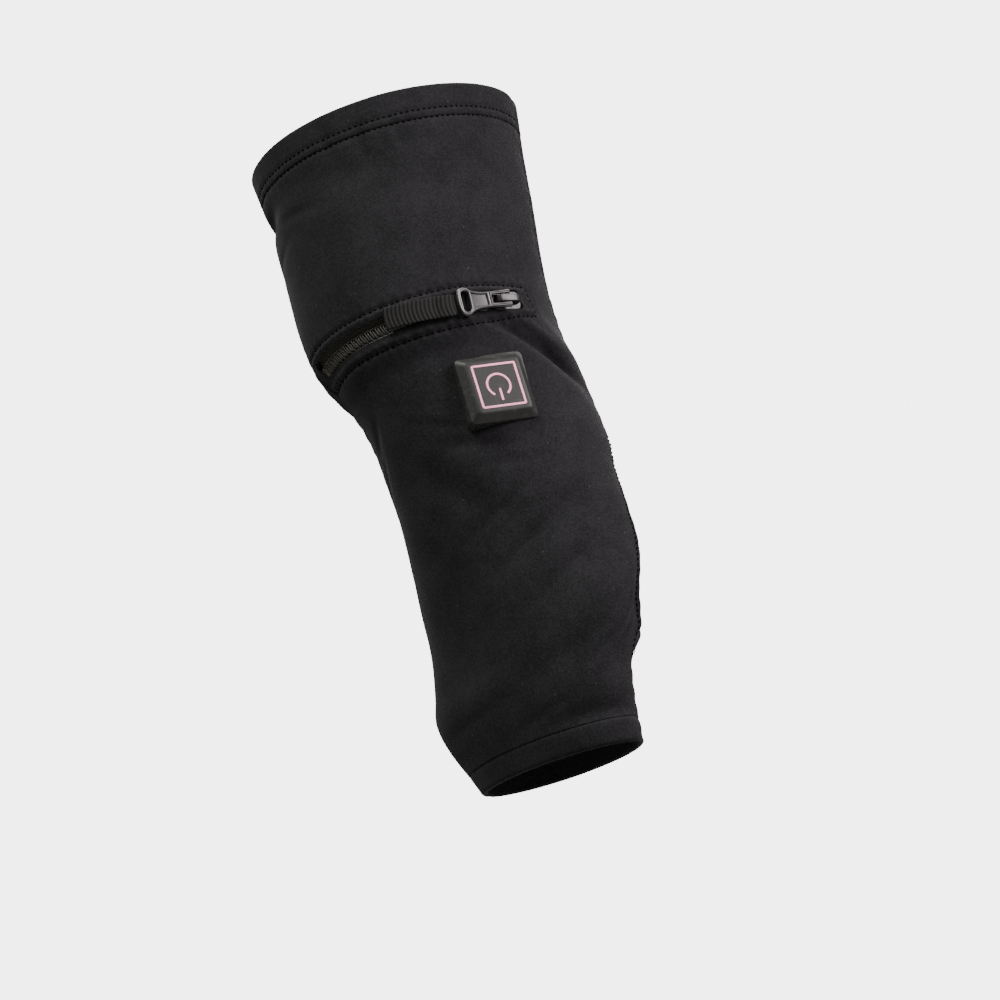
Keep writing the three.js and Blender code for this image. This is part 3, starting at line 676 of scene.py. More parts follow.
def fuzz_group():
    """Brushed fibre: a fine uneven height, a soft mottle and a sparse mask of lint specks."""
    group, source, result = new_group(
        "fuzz",
        [("Vector", "NodeSocketVector", None)],
        [("Height", "NodeSocketFloat"), ("Mottle", "NodeSocketFloat"), ("Lint", "NodeSocketFloat")],
    )
    w = Wiring(group)
    vector = source.outputs["Vector"]
    fine = w.noise(vector, 2600.0, 3.0, 0.65)
    broad = w.noise(vector, 420.0, 3.0, 0.6)
    w.feed(result.inputs["Height"], w.blend(fine, broad, 0.6))
    clouds, flecks = w.noise(vector, 95.0, 3.0, 0.6), w.noise(vector, 1100.0, 3.0, 0.7)
    w.feed(result.inputs["Mottle"], w.blend(clouds, flecks, 0.35))
    cells = w.node("ShaderNodeTexVoronoi", feature="F1")
    w.feed(cells.inputs["Vector"], vector)
    cells.inputs["Scale"].default_value = 420.0
    speck = w.math("SUBTRACT", 1.0, w.ramp(cells.outputs["Distance"], 0.06, 0.2))
    shade = w.node("ShaderNodeSeparateColor")
    w.feed(shade.inputs[0], cells.outputs["Color"])
    rare = w.ramp(shade.outputs[0], 0.9, 0.99)
    w.feed(result.inputs["Lint"], w.math("MULTIPLY", speck, rare, clamp=True))
    return group


def grain_group():
    """Fine grain and faint scuffs of a hard or rubber surface."""
    group, source, result = new_group(
        "grain",
        [("Vector", "NodeSocketVector", None), ("Scale", "NodeSocketFloat", 2400.0)],
        [("Height", "NodeSocketFloat"), ("Scuff", "NodeSocketFloat")],
    )
    w = Wiring(group)
    vector = source.outputs["Vector"]
    w.feed(result.inputs["Height"], w.noise(vector, source.outputs["Scale"], 2.0, 0.6))
    w.feed(result.inputs["Scuff"], w.ramp(w.noise(vector, 260.0, 4.0, 0.7), 0.52, 0.72))
    return group


GROUPS = {}


def group_node(w, name, **inputs):
    if name not in GROUPS:
        GROUPS[name] = {"knit": knit_group, "fuzz": fuzz_group, "grain": grain_group}[name]()
    made = w.node("ShaderNodeGroup", node_tree=GROUPS[name])
    for label, value in inputs.items():
        w.feed(made.inputs[label.replace("_", " ")], value)
    return made.outputs


def new_material(name):
    """A material with its wiring, its shader and its object coordinates."""
    material = bpy.data.materials.new(name)
    material.use_nodes = True
    w = Wiring(material.node_tree)
    shader = material.node_tree.nodes["Principled BSDF"]
    place = w.node("ShaderNodeTexCoord").outputs["Object"]
    return material, w, shader, place


def add_bump(w, shader, height, distance, after=None):
    bump = w.node("ShaderNodeBump")
    bump.inputs["Strength"].default_value = 1.0
    bump.inputs["Distance"].default_value = distance
    w.feed(bump.inputs["Height"], height)
    if after is not None:
        w.feed(bump.inputs["Normal"], after)
    w.feed(shader.inputs["Normal"], bump.outputs["Normal"])
    return bump.outputs["Normal"]


def shade_of(colour, factor):
    return (colour[0] * factor, colour[1] * factor, colour[2] * factor, 1.0)


def shades(w, factor, colour, dark, light):
    """A colour that goes from a dark to a light share of itself as the factor rises."""
    return w.mix(factor, shade_of(colour, dark), shade_of(colour, light))


def add_lint(w, fuzz, base, share, colour):
    """The base colour with a share of the pale specks of lint."""
    return w.mix(w.math("MULTIPLY", fuzz["Lint"], share), base, colour)


def paint(w, shader, base, roughness, specular=None):
    """Gives a shader its colour, its roughness and, where it isn't the usual one, its specular level."""
    w.feed(shader.inputs["Base Color"], base)
    w.feed(shader.inputs["Roughness"], roughness)
    if specular is not None:
        shader.inputs["Specular IOR Level"].default_value = specular


def cloth_material(name, colour):
    """Matte brushed black knit with a faint heather and pale lint."""
    material, w, shader, place = new_material(name)
    uv = w.node("ShaderNodeUVMap", uv_map="cloth").outputs["UV"]
    fuzz = group_node(w, "fuzz", Vector=place)
    knit = group_node(w, "knit", Vector=uv, Loops_per_metre=KNIT_LOOPS)
    base = shades(w, w.ramp(fuzz["Mottle"], 0.36, 0.64), colour, 0.6, 1.45)
    base = add_lint(w, fuzz, base, 0.3, (0.085, 0.083, 0.08, 1))
    paint(w, shader, base, w.span(fuzz["Height"], 0.82, 0.98), 0.12)
    shader.inputs["Sheen Weight"].default_value = 0.05
    shader.inputs["Sheen Roughness"].default_value = 0.4
    first = add_bump(w, shader, knit["Height"], 0.06 * MM)
    add_bump(w, shader, fuzz["Height"], 0.12 * MM, after=first)
    return material


def tape_material(name, colour):
    """Woven zip tape with a fine twill."""
    material, w, shader, place = new_material(name)
    uv = w.node("ShaderNodeUVMap", uv_map="cloth").outputs["UV"]
    twill = w.wave(uv, 1500.0 * WAVE_TURN, "DIAGONAL", 0.6)
    fuzz = group_node(w, "fuzz", Vector=place)
    base = add_lint(w, fuzz, shades(w, twill, colour, 0.6, 1.25), 0.4, (0.14, 0.14, 0.12, 1))
    paint(w, shader, base, w.span(twill, 0.7, 0.92), 0.15)
    add_bump(w, shader, twill, 0.08 * MM)
    return material


def coil_material(name, colour):
    """Satin nylon of the coil, with paler dusty patches spread at random."""
    material, w, shader, place = new_material(name)
    grain = group_node(w, "grain", Vector=place, Scale=3200.0)
    base = shades(w, grain["Scuff"], colour, 0.75, 1.4)
    paint(w, shader, base, w.span(grain["Height"], 0.36, 0.56), 0.35)
    add_bump(w, shader, grain["Height"], 0.03 * MM)
    return material


def ribbon_material(name, colour, rib_pitch):
    """Grosgrain with fine warp threads over its ribs and shade between them."""
    material, w, shader, place = new_material(name)
    uv = w.node("ShaderNodeUVMap", uv_map="cloth").outputs["UV"]
    warp = w.wave(uv, 2800.0 * WAVE_TURN, "Y", 0.5)
    ribs = w.wave(uv, 2400.0 * WAVE_TURN, "X", 0.5)
    fuzz = group_node(w, "fuzz", Vector=place)
    threads = w.math("MULTIPLY", w.math("ADD", warp, ribs), 0.5)
    base = shades(w, threads, colour, 0.7, 1.5)
    # Painted shade: the colour darkens to 0.12 of itself in the hollows between the ribs, where shade falls.
    hollow = w.ramp(w.wave(uv, WAVE_TURN / rib_pitch, "X"), 0.35, 0.7)
    base = w.mix(hollow, base, shade_of(colour, 0.12))
    base = add_lint(w, fuzz, base, 0.3, (0.15, 0.15, 0.13, 1))
    paint(w, shader, base, w.span(threads, 0.62, 0.85), 0.15)
    add_bump(w, shader, threads, 0.06 * MM)
    return material


def metal_material(name, colour, roughness, metallic=1.0):
    """Cast metal with a fine grain and brighter rubbed places spread at random."""
    material, w, shader, place = new_material(name)
    grain = group_node(w, "grain", Vector=place, Scale=1800.0)
    base = shades(w, grain["Scuff"], colour, 0.8, 1.25)
    paint(w, shader, base, w.span(grain["Height"], roughness - 0.08, roughness + 0.1))
    shader.inputs["Metallic"].default_value = metallic
    add_bump(w, shader, grain["Height"], 0.02 * MM)
    return material


def rubber_material(name, colour):
    """Satin moulded rubber with a fine grain and a faint bloom."""
    material, w, shader, place = new_material(name)
    grain = group_node(w, "grain", Vector=place, Scale=2600.0)
    mottle = w.noise(place, 160.0, 3.0, 0.6)
    base = shades(w, mottle, colour, 0.85, 1.15)
    base = w.mix(w.math("MULTIPLY", grain["Scuff"], 0.12), base, (0.14, 0.145, 0.125, 1))
    paint(w, shader, base, w.span(grain["Height"], 0.42, 0.6), 0.22)
    add_bump(w, shader, grain["Height"], 0.035 * MM)
    return material


def marking_material(name, colour):
    """Printed ink with a slightly uneven edge and cover."""
    material, w, shader, place = new_material(name)
    cover = w.noise(place, 1400.0, 2.0, 0.6)
    paint(w, shader, shades(w, w.ramp(cover, 0.2, 0.6), colour, 0.8, 1.0), w.span(cover, 0.45, 0.7))
    add_bump(w, shader, cover, 0.02 * MM)
    return material


def thread_material(name, colour):
    """Twisted polyester thread with a faint gloss."""
    material, w, shader, place = new_material(name)
    twist = w.noise(place, 5200.0, 2.0, 0.5)
    paint(w, shader, shades(w, twist, colour, 0.6, 1.5), w.span(twist, 0.7, 0.9), 0.03)
    add_bump(w, shader, twist, 0.04 * MM)
    return material


def floor_material(name, colour):
    """Plain pale matte floor, with a glow that only the camera sees."""
    material, w, shader, place = new_material(name)
    paint(w, shader, shades(w, w.noise(place, 3.0), colour, 0.98, 1.0), 0.9)
    shader.inputs["Emission Color"].default_value = (1, 1, 1, 1)
    seen = w.node("ShaderNodeLightPath").outputs["Is Camera Ray"]
    w.feed(shader.inputs["Emission Strength"], w.math("MULTIPLY", seen, FLOOR_GLOW))
    return material


MATERIALS = {}


def material_named(name):
    """The glove's materials, each made once from the colours of the panel."""
    if name in MATERIALS:
        return MATERIALS[name]
    sizes, colours = bpy.context.scene.glove_sizes, bpy.context.scene.glove_colours
    finishes = {
        "stretch_cloth": (cloth_material, colours.cloth),
        "zip_tape": (tape_material, colours.tape),
        "zip_coil": (coil_material, colours.coil),
        "end_piece": (coil_material, colours.end_piece),
        "grosgrain": (ribbon_material, colours.ribbon, sizes.rib_pitch),
        "black_metal": (metal_material, colours.slider, 0.4, 0.8),
        "gunmetal": (metal_material, colours.puller, 0.38),
        "button_rubber": (rubber_material, colours.button),
        "marking": (marking_material, colours.marking),
        "thread": (thread_material, colours.thread),
        "floor": (floor_material, colours.floor),
    }
    make, *values = finishes[name]
    MATERIALS[name] = make(name, *values)
    return MATERIALS[name]


# Sleeve


def panel_heights(rows):
    """Heights of a panel's rows, closer together at the hems and at the ends of the thumb hole."""
    bottom, top = -HAND_LENGTH + FINGER_HEM - TUCK, FOREARM_LENGTH - CUFF_ROWS[1] + TUCK
    half = HOLE_LENGTH / 2 + HOLE_POINT * THUMB_HEM
    low, high = HOLE_MIDDLE - half, HOLE_MIDDLE + half
    counts = [round(rows * (b - a) / (top - bottom)) for a, b in ((bottom, low), (low, high), (high, top))]
    counts[1] = rows - counts[0] - counts[2]
    turn = np.linspace(0, np.pi, counts[1] + 1)
    hole = HOLE_MIDDLE - half * (0.45 * np.cos(turn) + 0.55 * (1 - 2 * turn / np.pi))
    below = bottom + (low - bottom) * spaced_shares(counts[0])[:-1]
    above = high + (top - high) * spaced_shares(counts[2])[1:]
    return np.concatenate([below, hole, above])


def slit_cuts():
    """Lines that cut the slit's outline, each as a point on it and the direction that faces out."""
    half_width, corner = SLIT_WIDTH / 2, SLIT_CORNER
    cuts = [((SLIT_CENTRE, SLIT_MIDDLE + side * half_width), (0, side)) for side in (-1, 1)]
    cuts += [((SLIT_CENTRE + side * SLIT_HALF_LENGTH, SLIT_MIDDLE), (side, 0)) for side in (-1, 1)]
    for end in (-1, 1):
        for side in (-1, 1):
            inner = (SLIT_HALF_LENGTH - corner, half_width - corner)
            centre = Vector((SLIT_CENTRE + end * inner[0], SLIT_MIDDLE + side * inner[1]))
            for turn in (22.5, 45, 67.5):
                facing = Vector((end * math.cos(math.radians(turn)), side * math.sin(math.radians(turn))))
                cuts.append((centre + facing * corner, facing))
    return cuts


def cut_slit(bm, height, around):
    """Opens the pocket slit in a back panel that is still flat, with a finer mesh round it. Gives the height
    and angle of each vertex."""
    length, aside = zip_place(height, around)
    for vert in bm.verts:
        vert.co = (length[vert.index], aside[vert.index], 0)

    def distance(point):
        return float(slit_distance(point.x, point.y - SLIT_MIDDLE, SLIT_WIDTH / 2, 0.0, SLIT_CORNER))

    near = [f for f in bm.faces if distance(f.calc_center_median()) < 5.5 * MM]
    edges = list({e for f in near for e in f.edges})
    bmesh.ops.subdivide_edges(bm, edges=edges, cuts=1, use_grid_fill=True)
    for point, facing in slit_cuts():
        faces = [f for f in bm.faces if distance(f.calc_center_median()) < 1.5 * MM]
        if facing[0] and facing[1]:
            faces = [f for f in faces if (f.calc_center_median().xy - Vector(point)).length < 2.5 * MM]
        parts = list({v for f in faces for v in f.verts} | {e for f in faces for e in f.edges}) + faces
        plane = {"plane_co": (*point, 0), "plane_no": (*facing, 0)}
        bmesh.ops.bisect_plane(bm, geom=parts, dist=0.01 * MM, **plane)
    inside = [f for f in bm.faces if distance(f.calc_center_median()) < 0.02 * MM]
    bmesh.ops.delete(bm, geom=inside, context="FACES")
    bm.verts.index_update()
    flat = np.array([v.co[:2] for v in bm.verts])
    return zip_height(flat[:, 0]) + flat[:, 1], np.interp(flat[:, 0], ZIP_SCALE, ZIP_ANGLES)


def make_panel(name, side, columns, rows, sizes):
    """One cloth panel: side is 1 for the back of the hand and -1 for the palm."""
    bm, across, up = new_grid(columns, rows)
    grid_shares = np.linspace(0, 1, columns + 1)
    across = np.interp(across, grid_shares, spaced_shares(columns))
    height = np.interp(up, np.linspace(0, 1, rows + 1), panel_heights(rows))
    start = thumb_edge(height, side, THUMB_HEM - THUMB_LAP)
    end = section("little", height) - (0 if side > 0 else 360)
    around = start + (end - start) * across
    if side > 0:
        height, around = cut_slit(bm, height, around)
    set_uvs(bm, np.radians(around) * CUFF_UV_RADIUS, height)
    cuff_joint, finger_joint = FOREARM_LENGTH - CUFF_ROWS[1], HAND_LENGTH - FINGER_HEM
    under_hems = smooth_step(height, cuff_joint, cuff_joint + 0.8 * MM)
    under_hems = under_hems + smooth_step(-height, finger_joint, finger_joint + 0.8 * MM)
    set_places(bm, cloth_points(height, around, sizes, -TUCK_DEPTH * under_hems))
    turn_out(bm, sleeve_middle)
    piece = add_object(bm, name, material_named("stretch_cloth"))
    return thicken(piece, CLOTH, PANEL_EDGE)


def hem_profile(depth, steps):
    """The folded edge of a hem from its joint over the rim and back, as depths and distances out."""
    radius = (CLOTH + FOLD_GAP) / 2
    outer = np.linspace(depth, radius, steps)
    turn = np.linspace(0, np.pi, 9)[1:-1]
    depths = np.concatenate([outer, radius - radius * np.sin(turn), outer[::-1]])
    outs = np.concatenate([np.zeros(steps), -radius + radius * np.cos(turn), np.full(steps, -2 * radius)])
    return depths, outs


def make_ring(name, around_steps, profile, place):
    """A closed hem: the profile's points are carried round by place(turn share, depth, out)."""
    depths, outs = profile
    count = len(depths)
    bm, across, along = new_grid(around_steps, count)
    k = np.rint(along * count).astype(int) % count
    points, uv_across, uv_up = place(across, depths[k], outs[k])
    run = run_along(np.stack([depths, outs], -1))
    set_uvs(bm, uv_across, uv_up + run[k])
    set_places(bm, points)
    bmesh.ops.remove_doubles(bm, verts=bm.verts, dist=0.001 * MM)
    return add_solid(bm, name, material_named("stretch_cloth"))


def cuff_place(sizes):
    def place(share, depth, out):
        height, around = FOREARM_LENGTH - depth, 360 * share
        return cloth_points(height, around, sizes, out), np.radians(around) * CUFF_UV_RADIUS, height

    return place


def finger_place(sizes):
    def place(share, depth, out):
        height, around = -HAND_LENGTH + depth, 360 * share
        dip = groove(depth - FINGER_HEM, 0.3 * MM, 0.7 * MM)
        across = np.radians(around) * FINGER_UV_RADIUS
        return cloth_points(height, around, sizes, out + dip), across, height

    return place


def thumb_place(sizes):
    def place(share, depth, out):
        height, around = on_almond(2 * np.pi * share, depth)
        dip = groove(depth - THUMB_ROW, 0.3 * MM, 0.55 * MM)
        proud = 0.12 * MM * np.where(out > -CLOTH / 2, 1, 0)
        return cloth_points(height, around, sizes, out + dip + proud), share * THUMB_UV_ROUND, height * 0

    return place


class GLOVE_OT_sleeve_panels(bpy.types.Operator):
    """Make the cloth panels over the back of the hand and over the palm"""

    bl_idname = "glove.sleeve_panels"
    bl_label = "Sleeve panels"

    def execute(self, context):
        sizes = context.scene.glove_sizes
        back = make_panel("back_panel_cloth", 1, BACK_COLUMNS, PANEL_ROWS, sizes)
        palm = make_panel("palm_panel_cloth", -1, PALM_COLUMNS, PANEL_ROWS, sizes)
        settle(back, "stretch_cloth", "back_panel")
        settle(palm, "stretch_cloth", "palm_panel")
        return {"FINISHED"}


class GLOVE_OT_sleeve_hems(bpy.types.Operator):
    """Make the folded hems of the cuff, the finger end and the thumb hole"""

    bl_idname = "glove.sleeve_hems"
    bl_label = "Sleeve hems"

    def execute(self, context):
        sizes = context.scene.glove_sizes
        cuff = make_ring("cuff_hem_cloth", 300, hem_profile(CUFF_ROWS[1], 16), cuff_place(sizes))
        finger = make_ring("finger_hem_cloth", 220, hem_profile(FINGER_HEM, 11), finger_place(sizes))
        thumb = make_ring("thumb_hem_cloth", 200, hem_profile(THUMB_HEM, 7), thumb_place(sizes))
        settle(cuff, "stretch_cloth", "cuff_hem")
        settle(finger, "stretch_cloth", "finger_hem")
        settle(thumb, "stretch_cloth", "thumb_hem")
        return {"FINISHED"}


# Pocket zip


def make_strip(name, material, columns, rows, place, thickness):
    """A flat strip along the zip, thickened downward: place gives points for shares along and across."""
    bm, along, across = new_grid(columns, rows)
    points, lengths, sides = place(along, across)
    set_uvs(bm, lengths, sides)
    set_places(bm, points)
    turn_out(bm, sleeve_middle)
    return thicken(add_object(bm, name, material), thickness)


def tape_place(low, high, out=TAPE_TOP):
    def place(along, across):
        length = TAPE_START + (ZIP_LENGTH + TAPE_LAP - TAPE_START) * along
        aside = low + (high - low) * across
        return on_zip(length, aside, out), length, aside

    return place


def add_bar(bm, rounding, place):
    """A bar with rounded edges: place gives the point for x, y and z from -0.5 to 0.5."""
    made = bmesh.ops.create_cube(bm, size=1.0)["verts"]
    edges = list({e for v in made for e in v.link_edges})
    kind = {"offset_type": "OFFSET", "affect": "EDGES", "profile": 0.5, "material": -1}
    rounded = bmesh.ops.bevel(bm, geom=edges, offset=rounding, segments=2, **kind)
    verts = {v for f in rounded["faces"] for v in f.verts} | {v for v in made if v.is_valid}
    for vert in verts:
        vert.co = Vector(place(*vert.co))


def tooth_place(length, side, sizes):
    """A tooth of the coil, from its tape at one side over the middle to its head."""

    def place(x, y, z):
        aside = side * COIL_WIDTH * (0.5 - 0.86 * (0.5 - y))
        lean = 0.12 * MM * (0.5 - y) * side
        out = COIL_TOP - 0.5 * MM + z * MM - 0.3 * MM * abs(2 * aside / COIL_WIDTH) ** 4
        return on_zip(length + x * 0.46 * sizes.tooth_pitch + lean, aside, out)

    return place


def end_place(x, y, z):
    """The moulded piece that closes the coil's end."""
    return on_zip(COIL_START + (x - 0.5) * END_LENGTH, y * END_WIDTH, COIL_TOP - 0.35 * MM + z * END_THICK)


class GLOVE_OT_zip_coil(bpy.types.Operator):
    """Make the zip's woven tapes, its interlocked coil teeth and the stop at its closed end"""

    bl_idname = "glove.zip_coil"
    bl_label = "Zip tapes and coil"

    def execute(self, context):
        sizes = context.scene.glove_sizes
        inner, outer = COIL_WIDTH / 2 - 0.7 * MM, SLIT_WIDTH / 2 + SLIT_MIDDLE + TAPE_LAP
        tape = material_named("zip_tape")
        upper = make_strip("zip_tape_upper_weave", tape, 110, 10, tape_place(inner, outer), TAPE_THICK)
        lower = make_strip("zip_tape_lower_weave", tape, 110, 10, tape_place(-outer, -inner), TAPE_THICK)
        settle(upper, "zip_tape", "zip_tape_upper")
        settle(lower, "zip_tape", "zip_tape_lower")
        bm = bmesh.new()
        count = int((ZIP_LENGTH - COIL_START) / sizes.tooth_pitch)
        for i in range(count):
            length = COIL_START + (i + 0.5) * sizes.tooth_pitch
            add_bar(bm, 0.24, tooth_place(length, 1 if i % 2 else -1, sizes))
        coil = add_solid(bm, "zip_coil_teeth", material_named("zip_coil"))
        settle(coil, "zip_coil", "zip_coil")
        bm = bmesh.new()
        add_bar(bm, 0.12, end_place)
        end = add_solid(bm, "zip_end_piece", material_named("end_piece"))
        settle(end, "gunmetal", "zip_end_stop")
        for name, side in (("upper", 1), ("lower", -1)):
            low, high = sorted(side * aside for aside in CORD_ASIDE)
            place = tape_place(low, high, COIL_TOP - 0.45 * MM)
            cord = make_strip("zip_cord_" + name, material_named("zip_coil"), 150, 2, place, CORD_THICK)
            settle(cord, "zip_coil")
        return {"FINISHED"}


# Slider and puller

SLIDER_BASE = COIL_TOP + CLEARANCE
SLIDER_AT = ZIP_LENGTH - SLIDER_END_MARGIN - SLIDER_LENGTH / 2
PRONG_TIP = 0.3 * MM
PULLER_BASE = SLIDER_BASE + SLIDER_THICK + CLEARANCE


def slide_frame():
    return frame_on_sleeve(zip_height(SLIDER_AT), zip_round(SLIDER_AT))


def puller_frame():
    lean = math.atan2(PULLER_LIFT, SLIDER_LENGTH / 2 + PRONG_TIP)
    shift = Matrix.Translation((PRONG_TIP, 0, PULLER_BASE + PULLER_LIFT))
    return slide_frame() @ shift @ Matrix.Rotation(-lean, 4, "Y")


def arc_through(start, control, end, steps=6):
    """Points of a quadratic curve after its start."""
    a, b, c = (np.array(p) for p in (start, control, end))
    t = np.linspace(0, 1, steps + 1)[1:, None]
    return [tuple(p) for p in (1 - t) ** 2 * a + 2 * t * (1 - t) * b + t**2 * c]


def puller_outline():
    """The puller's flat outline, from the ends of its prongs round its ring."""
    start, neck, ring = -PULLER_LENGTH, PULLER_NECK_WIDTH / 2, PULLER_RING_WIDTH / 2
    gap = CROWN_WIDTH / 2 + CLEARANCE
    upper = [(0, neck), (-PRONG_LENGTH - 2 * MM, neck - 0.2 * MM)]
    upper += arc_through(upper[-1], (start + 6 * MM, neck), (start + 4.6 * MM, ring - 1 * MM))
    upper += arc_through(upper[-1], (start + 3 * MM, ring + 0.5 * MM), (start + 1.2 * MM, ring - 0.6 * MM))
    upper += arc_through(upper[-1], (start, ring - 2 * MM), (start, 0))
    lower = [(x, -y) for x, y in upper[-2::-1]]
    slot = [(0, -gap), (-PRONG_LENGTH, -gap), (-PRONG_LENGTH, gap), (0, gap)]
    return upper + lower + slot


def rounded_rectangle(width, height, corner, middle=(0, 0), steps=5):
    """Points round a rectangle with round corners."""
    points = []
    for quarter in range(4):
        x = (width / 2 - corner) * (1 if quarter in (0, 3) else -1)
        y = (height / 2 - corner) * (1 if quarter in (0, 1) else -1)
        for i in range(steps + 1):
            angle = math.radians(90 * (quarter + i / steps))
            reach = (corner * math.cos(angle), corner * math.sin(angle))
            points.append((middle[0] + x + reach[0], middle[1] + y + reach[1]))
    return points


def curve_mesh(loops, extrude=0.0, bevel=0.0, resolution=3, dimensions="2D"):
    """The mesh of closed poly curves, filled and extruded when flat, or as round wire when 3D."""
    curve = bpy.data.curves.new("outline", "CURVE")
    curve.dimensions = dimensions
    curve.fill_mode = "BOTH" if dimensions == "2D" else "FULL"
    curve.extrude = extrude
    curve.bevel_depth = bevel
    curve.bevel_resolution = resolution
    for loop in loops:
        spline = curve.splines.new("POLY")
        spline.points.add(len(loop) - 1)
        for point, (x, y) in zip(spline.points, loop):
            point.co = (x, y, 0, 1)
        spline.use_cyclic_u = True
    holder = bpy.data.objects.new("outline", curve)
    bpy.context.scene.collection.objects.link(holder)
    bpy.context.view_layer.update()
    graph = bpy.context.evaluated_depsgraph_get()
    mesh = bpy.data.meshes.new_from_object(holder.evaluated_get(graph))
    bpy.data.objects.remove(holder)
    bpy.data.curves.remove(curve)
    return mesh


def merge_mesh(bm, mesh, matrix):
    """Adds a mesh to a bmesh through a matrix, with its doubles merged."""
    mesh.transform(matrix)
    before = set(bm.verts)
    bm.from_mesh(mesh)
    bpy.data.meshes.remove(mesh)
    fresh = [v for v in bm.verts if v not in before]
    bmesh.ops.remove_doubles(bm, verts=fresh, dist=0.002 * MM)


class GLOVE_OT_zip_slider(bpy.types.Operator):
    """Make the zip's slider, its crown and its puller"""

    bl_idname = "glove.zip_slider"
    bl_label = "Zip slider and puller"

    def execute(self, context):
        self.make_slider()
        self.make_puller()
        return {"FINISHED"}

    def make_slider(self):
        base = slide_frame()
        bm = bmesh.new()
        plate = rounded_rectangle(SLIDER_LENGTH - 0.4 * MM, SLIDER_WIDTH - 0.4 * MM, 1.6 * MM)
        rise = Matrix.Translation((0, 0, SLIDER_BASE + SLIDER_THICK / 2))
        merge_mesh(bm, curve_mesh([plate], SLIDER_THICK / 2 - 0.3 * MM, 0.3 * MM), base @ rise)
        half, top = SLIDER_LENGTH / 2 - 1.1 * MM, CROWN_HEIGHT + 0.2 * MM
        foot = SLIDER_BASE + SLIDER_THICK - 0.2 * MM
        side = [(-half, foot), (half, foot)]
        side += arc_through(side[-1], (half, foot + CROWN_HEIGHT), (half - 2 * MM, foot + top))
        side += [(-half + 1.2 * MM, foot + top)]
        side += arc_through(side[-1], (-half, foot + CROWN_HEIGHT), (-half, foot))[:-1]
        stand = Matrix.Rotation(math.radians(90), 4, "X")
        edge = 0.25 * MM
        merge_mesh(bm, curve_mesh([side], CROWN_WIDTH / 2 - edge, edge), base @ stand)
        slider = add_solid(bm, "zip_slider_body", material_named("black_metal"), 40)
        settle(slider, "black_metal", "zip_slider")

    def make_puller(self):
        base = puller_frame()
        bm = bmesh.new()
        outline = puller_outline()
        wire = 0.5 * MM
        inset = wire * 0.9
        ring = PULLER_RING_WIDTH / 2
        middle = (-PULLER_LENGTH + PULLER_WIRE + RING_WINDOW / 2, 0)
        window = rounded_rectangle(RING_WINDOW, 2 * (ring - PULLER_WIRE), 1.2 * MM, middle)
        level = Matrix.Translation((0, 0, PULLER_THICK / 2 - 0.25 * MM))
        plate = curve_mesh([outline, window], PULLER_THICK / 2 - 0.42 * MM, 0.12 * MM)
        merge_mesh(bm, plate, base @ level)
        rim = curve_mesh([shrink(outline, inset)], bevel=wire, dimensions="3D")
        merge_mesh(bm, rim, base @ Matrix.Translation((0, 0, PULLER_THICK - wire)))
        collar = curve_mesh([shrink(window, -wire * 0.7)], bevel=wire * 0.8, dimensions="3D")
        merge_mesh(bm, collar, base @ Matrix.Translation((0, 0, PULLER_THICK - wire)))
        bar_at, bar_half = -PRONG_LENGTH - 1.1 * MM, PULLER_NECK_WIDTH / 2 - 0.6 * MM
        bar = rounded_rectangle(0.5 * MM, 2 * bar_half, 0.2 * MM, (bar_at, 0))
        merge_mesh(bm, curve_mesh([bar], 0.3 * MM, 0.15 * MM), base @ Matrix.Translation((0, 0, 1.0 * MM)))
        puller = add_solid(bm, "zip_puller_tab", material_named("gunmetal"), 40)
        settle(puller, "gunmetal", "zip_puller")


def shrink(loop, distance):
    """Moves a closed outline inward by a distance, or outward when it is negative."""
    points = np.array(loop)
    before, after = np.roll(points, 1, 0), np.roll(points, -1, 0)
    area = np.sum(points[:, 0] * after[:, 1] - after[:, 0] * points[:, 1])
    along = after - before
    along = along / np.maximum(np.hypot(along[:, 0], along[:, 1])[:, None], 1e-9)
    inward = np.stack([-along[:, 1], along[:, 0]], -1) * (1 if area > 0 else -1)
    return [tuple(p) for p in points + inward * distance]


# Ribbon


def ribbon_route():
    """The ribbon's middle line in the slider's frame, with its half width at each point. It lies over the
    coil and the upper lip of the slit, rises at the sewn lap, and goes under the ring's bar."""
    ring_at = SLIDER_AT + PRONG_TIP - PULLER_LENGTH
    half = RIBBON_WIDTH / 2
    squeezed = (PULLER_RING_WIDTH / 2 - PULLER_WIRE) * 0.86
    to_slide = slide_frame().inverted()
    pull = to_slide @ puller_frame()
    route = []
    for share in (1, 0.8, 0.6, 0.4, 0.28):
        length = ring_at - RIBBON_LENGTH * share
        route.append((to_slide @ Vector(on_zip(length, RIBBON_ASIDE * share, RIBBON_OUT)), half))
    lapped = RIBBON_OUT + RIBBON_THICK
    route.append((to_slide @ Vector(on_zip(ring_at - RIBBON_LAP * 0.8, 0.3 * MM, lapped)), half))
    route.append((to_slide @ Vector(on_zip(ring_at - RIBBON_LAP * 0.3, 0.0, lapped)), half * 0.97))
    under = -0.25 * MM - RIBBON_THICK
    for x, z in ((0.2 * MM, under), (PULLER_WIRE, under), (PULLER_WIRE + RING_WINDOW + MM, under)):
        route.append((pull @ Vector((x - PULLER_LENGTH, 0, z)), squeezed))
    return route


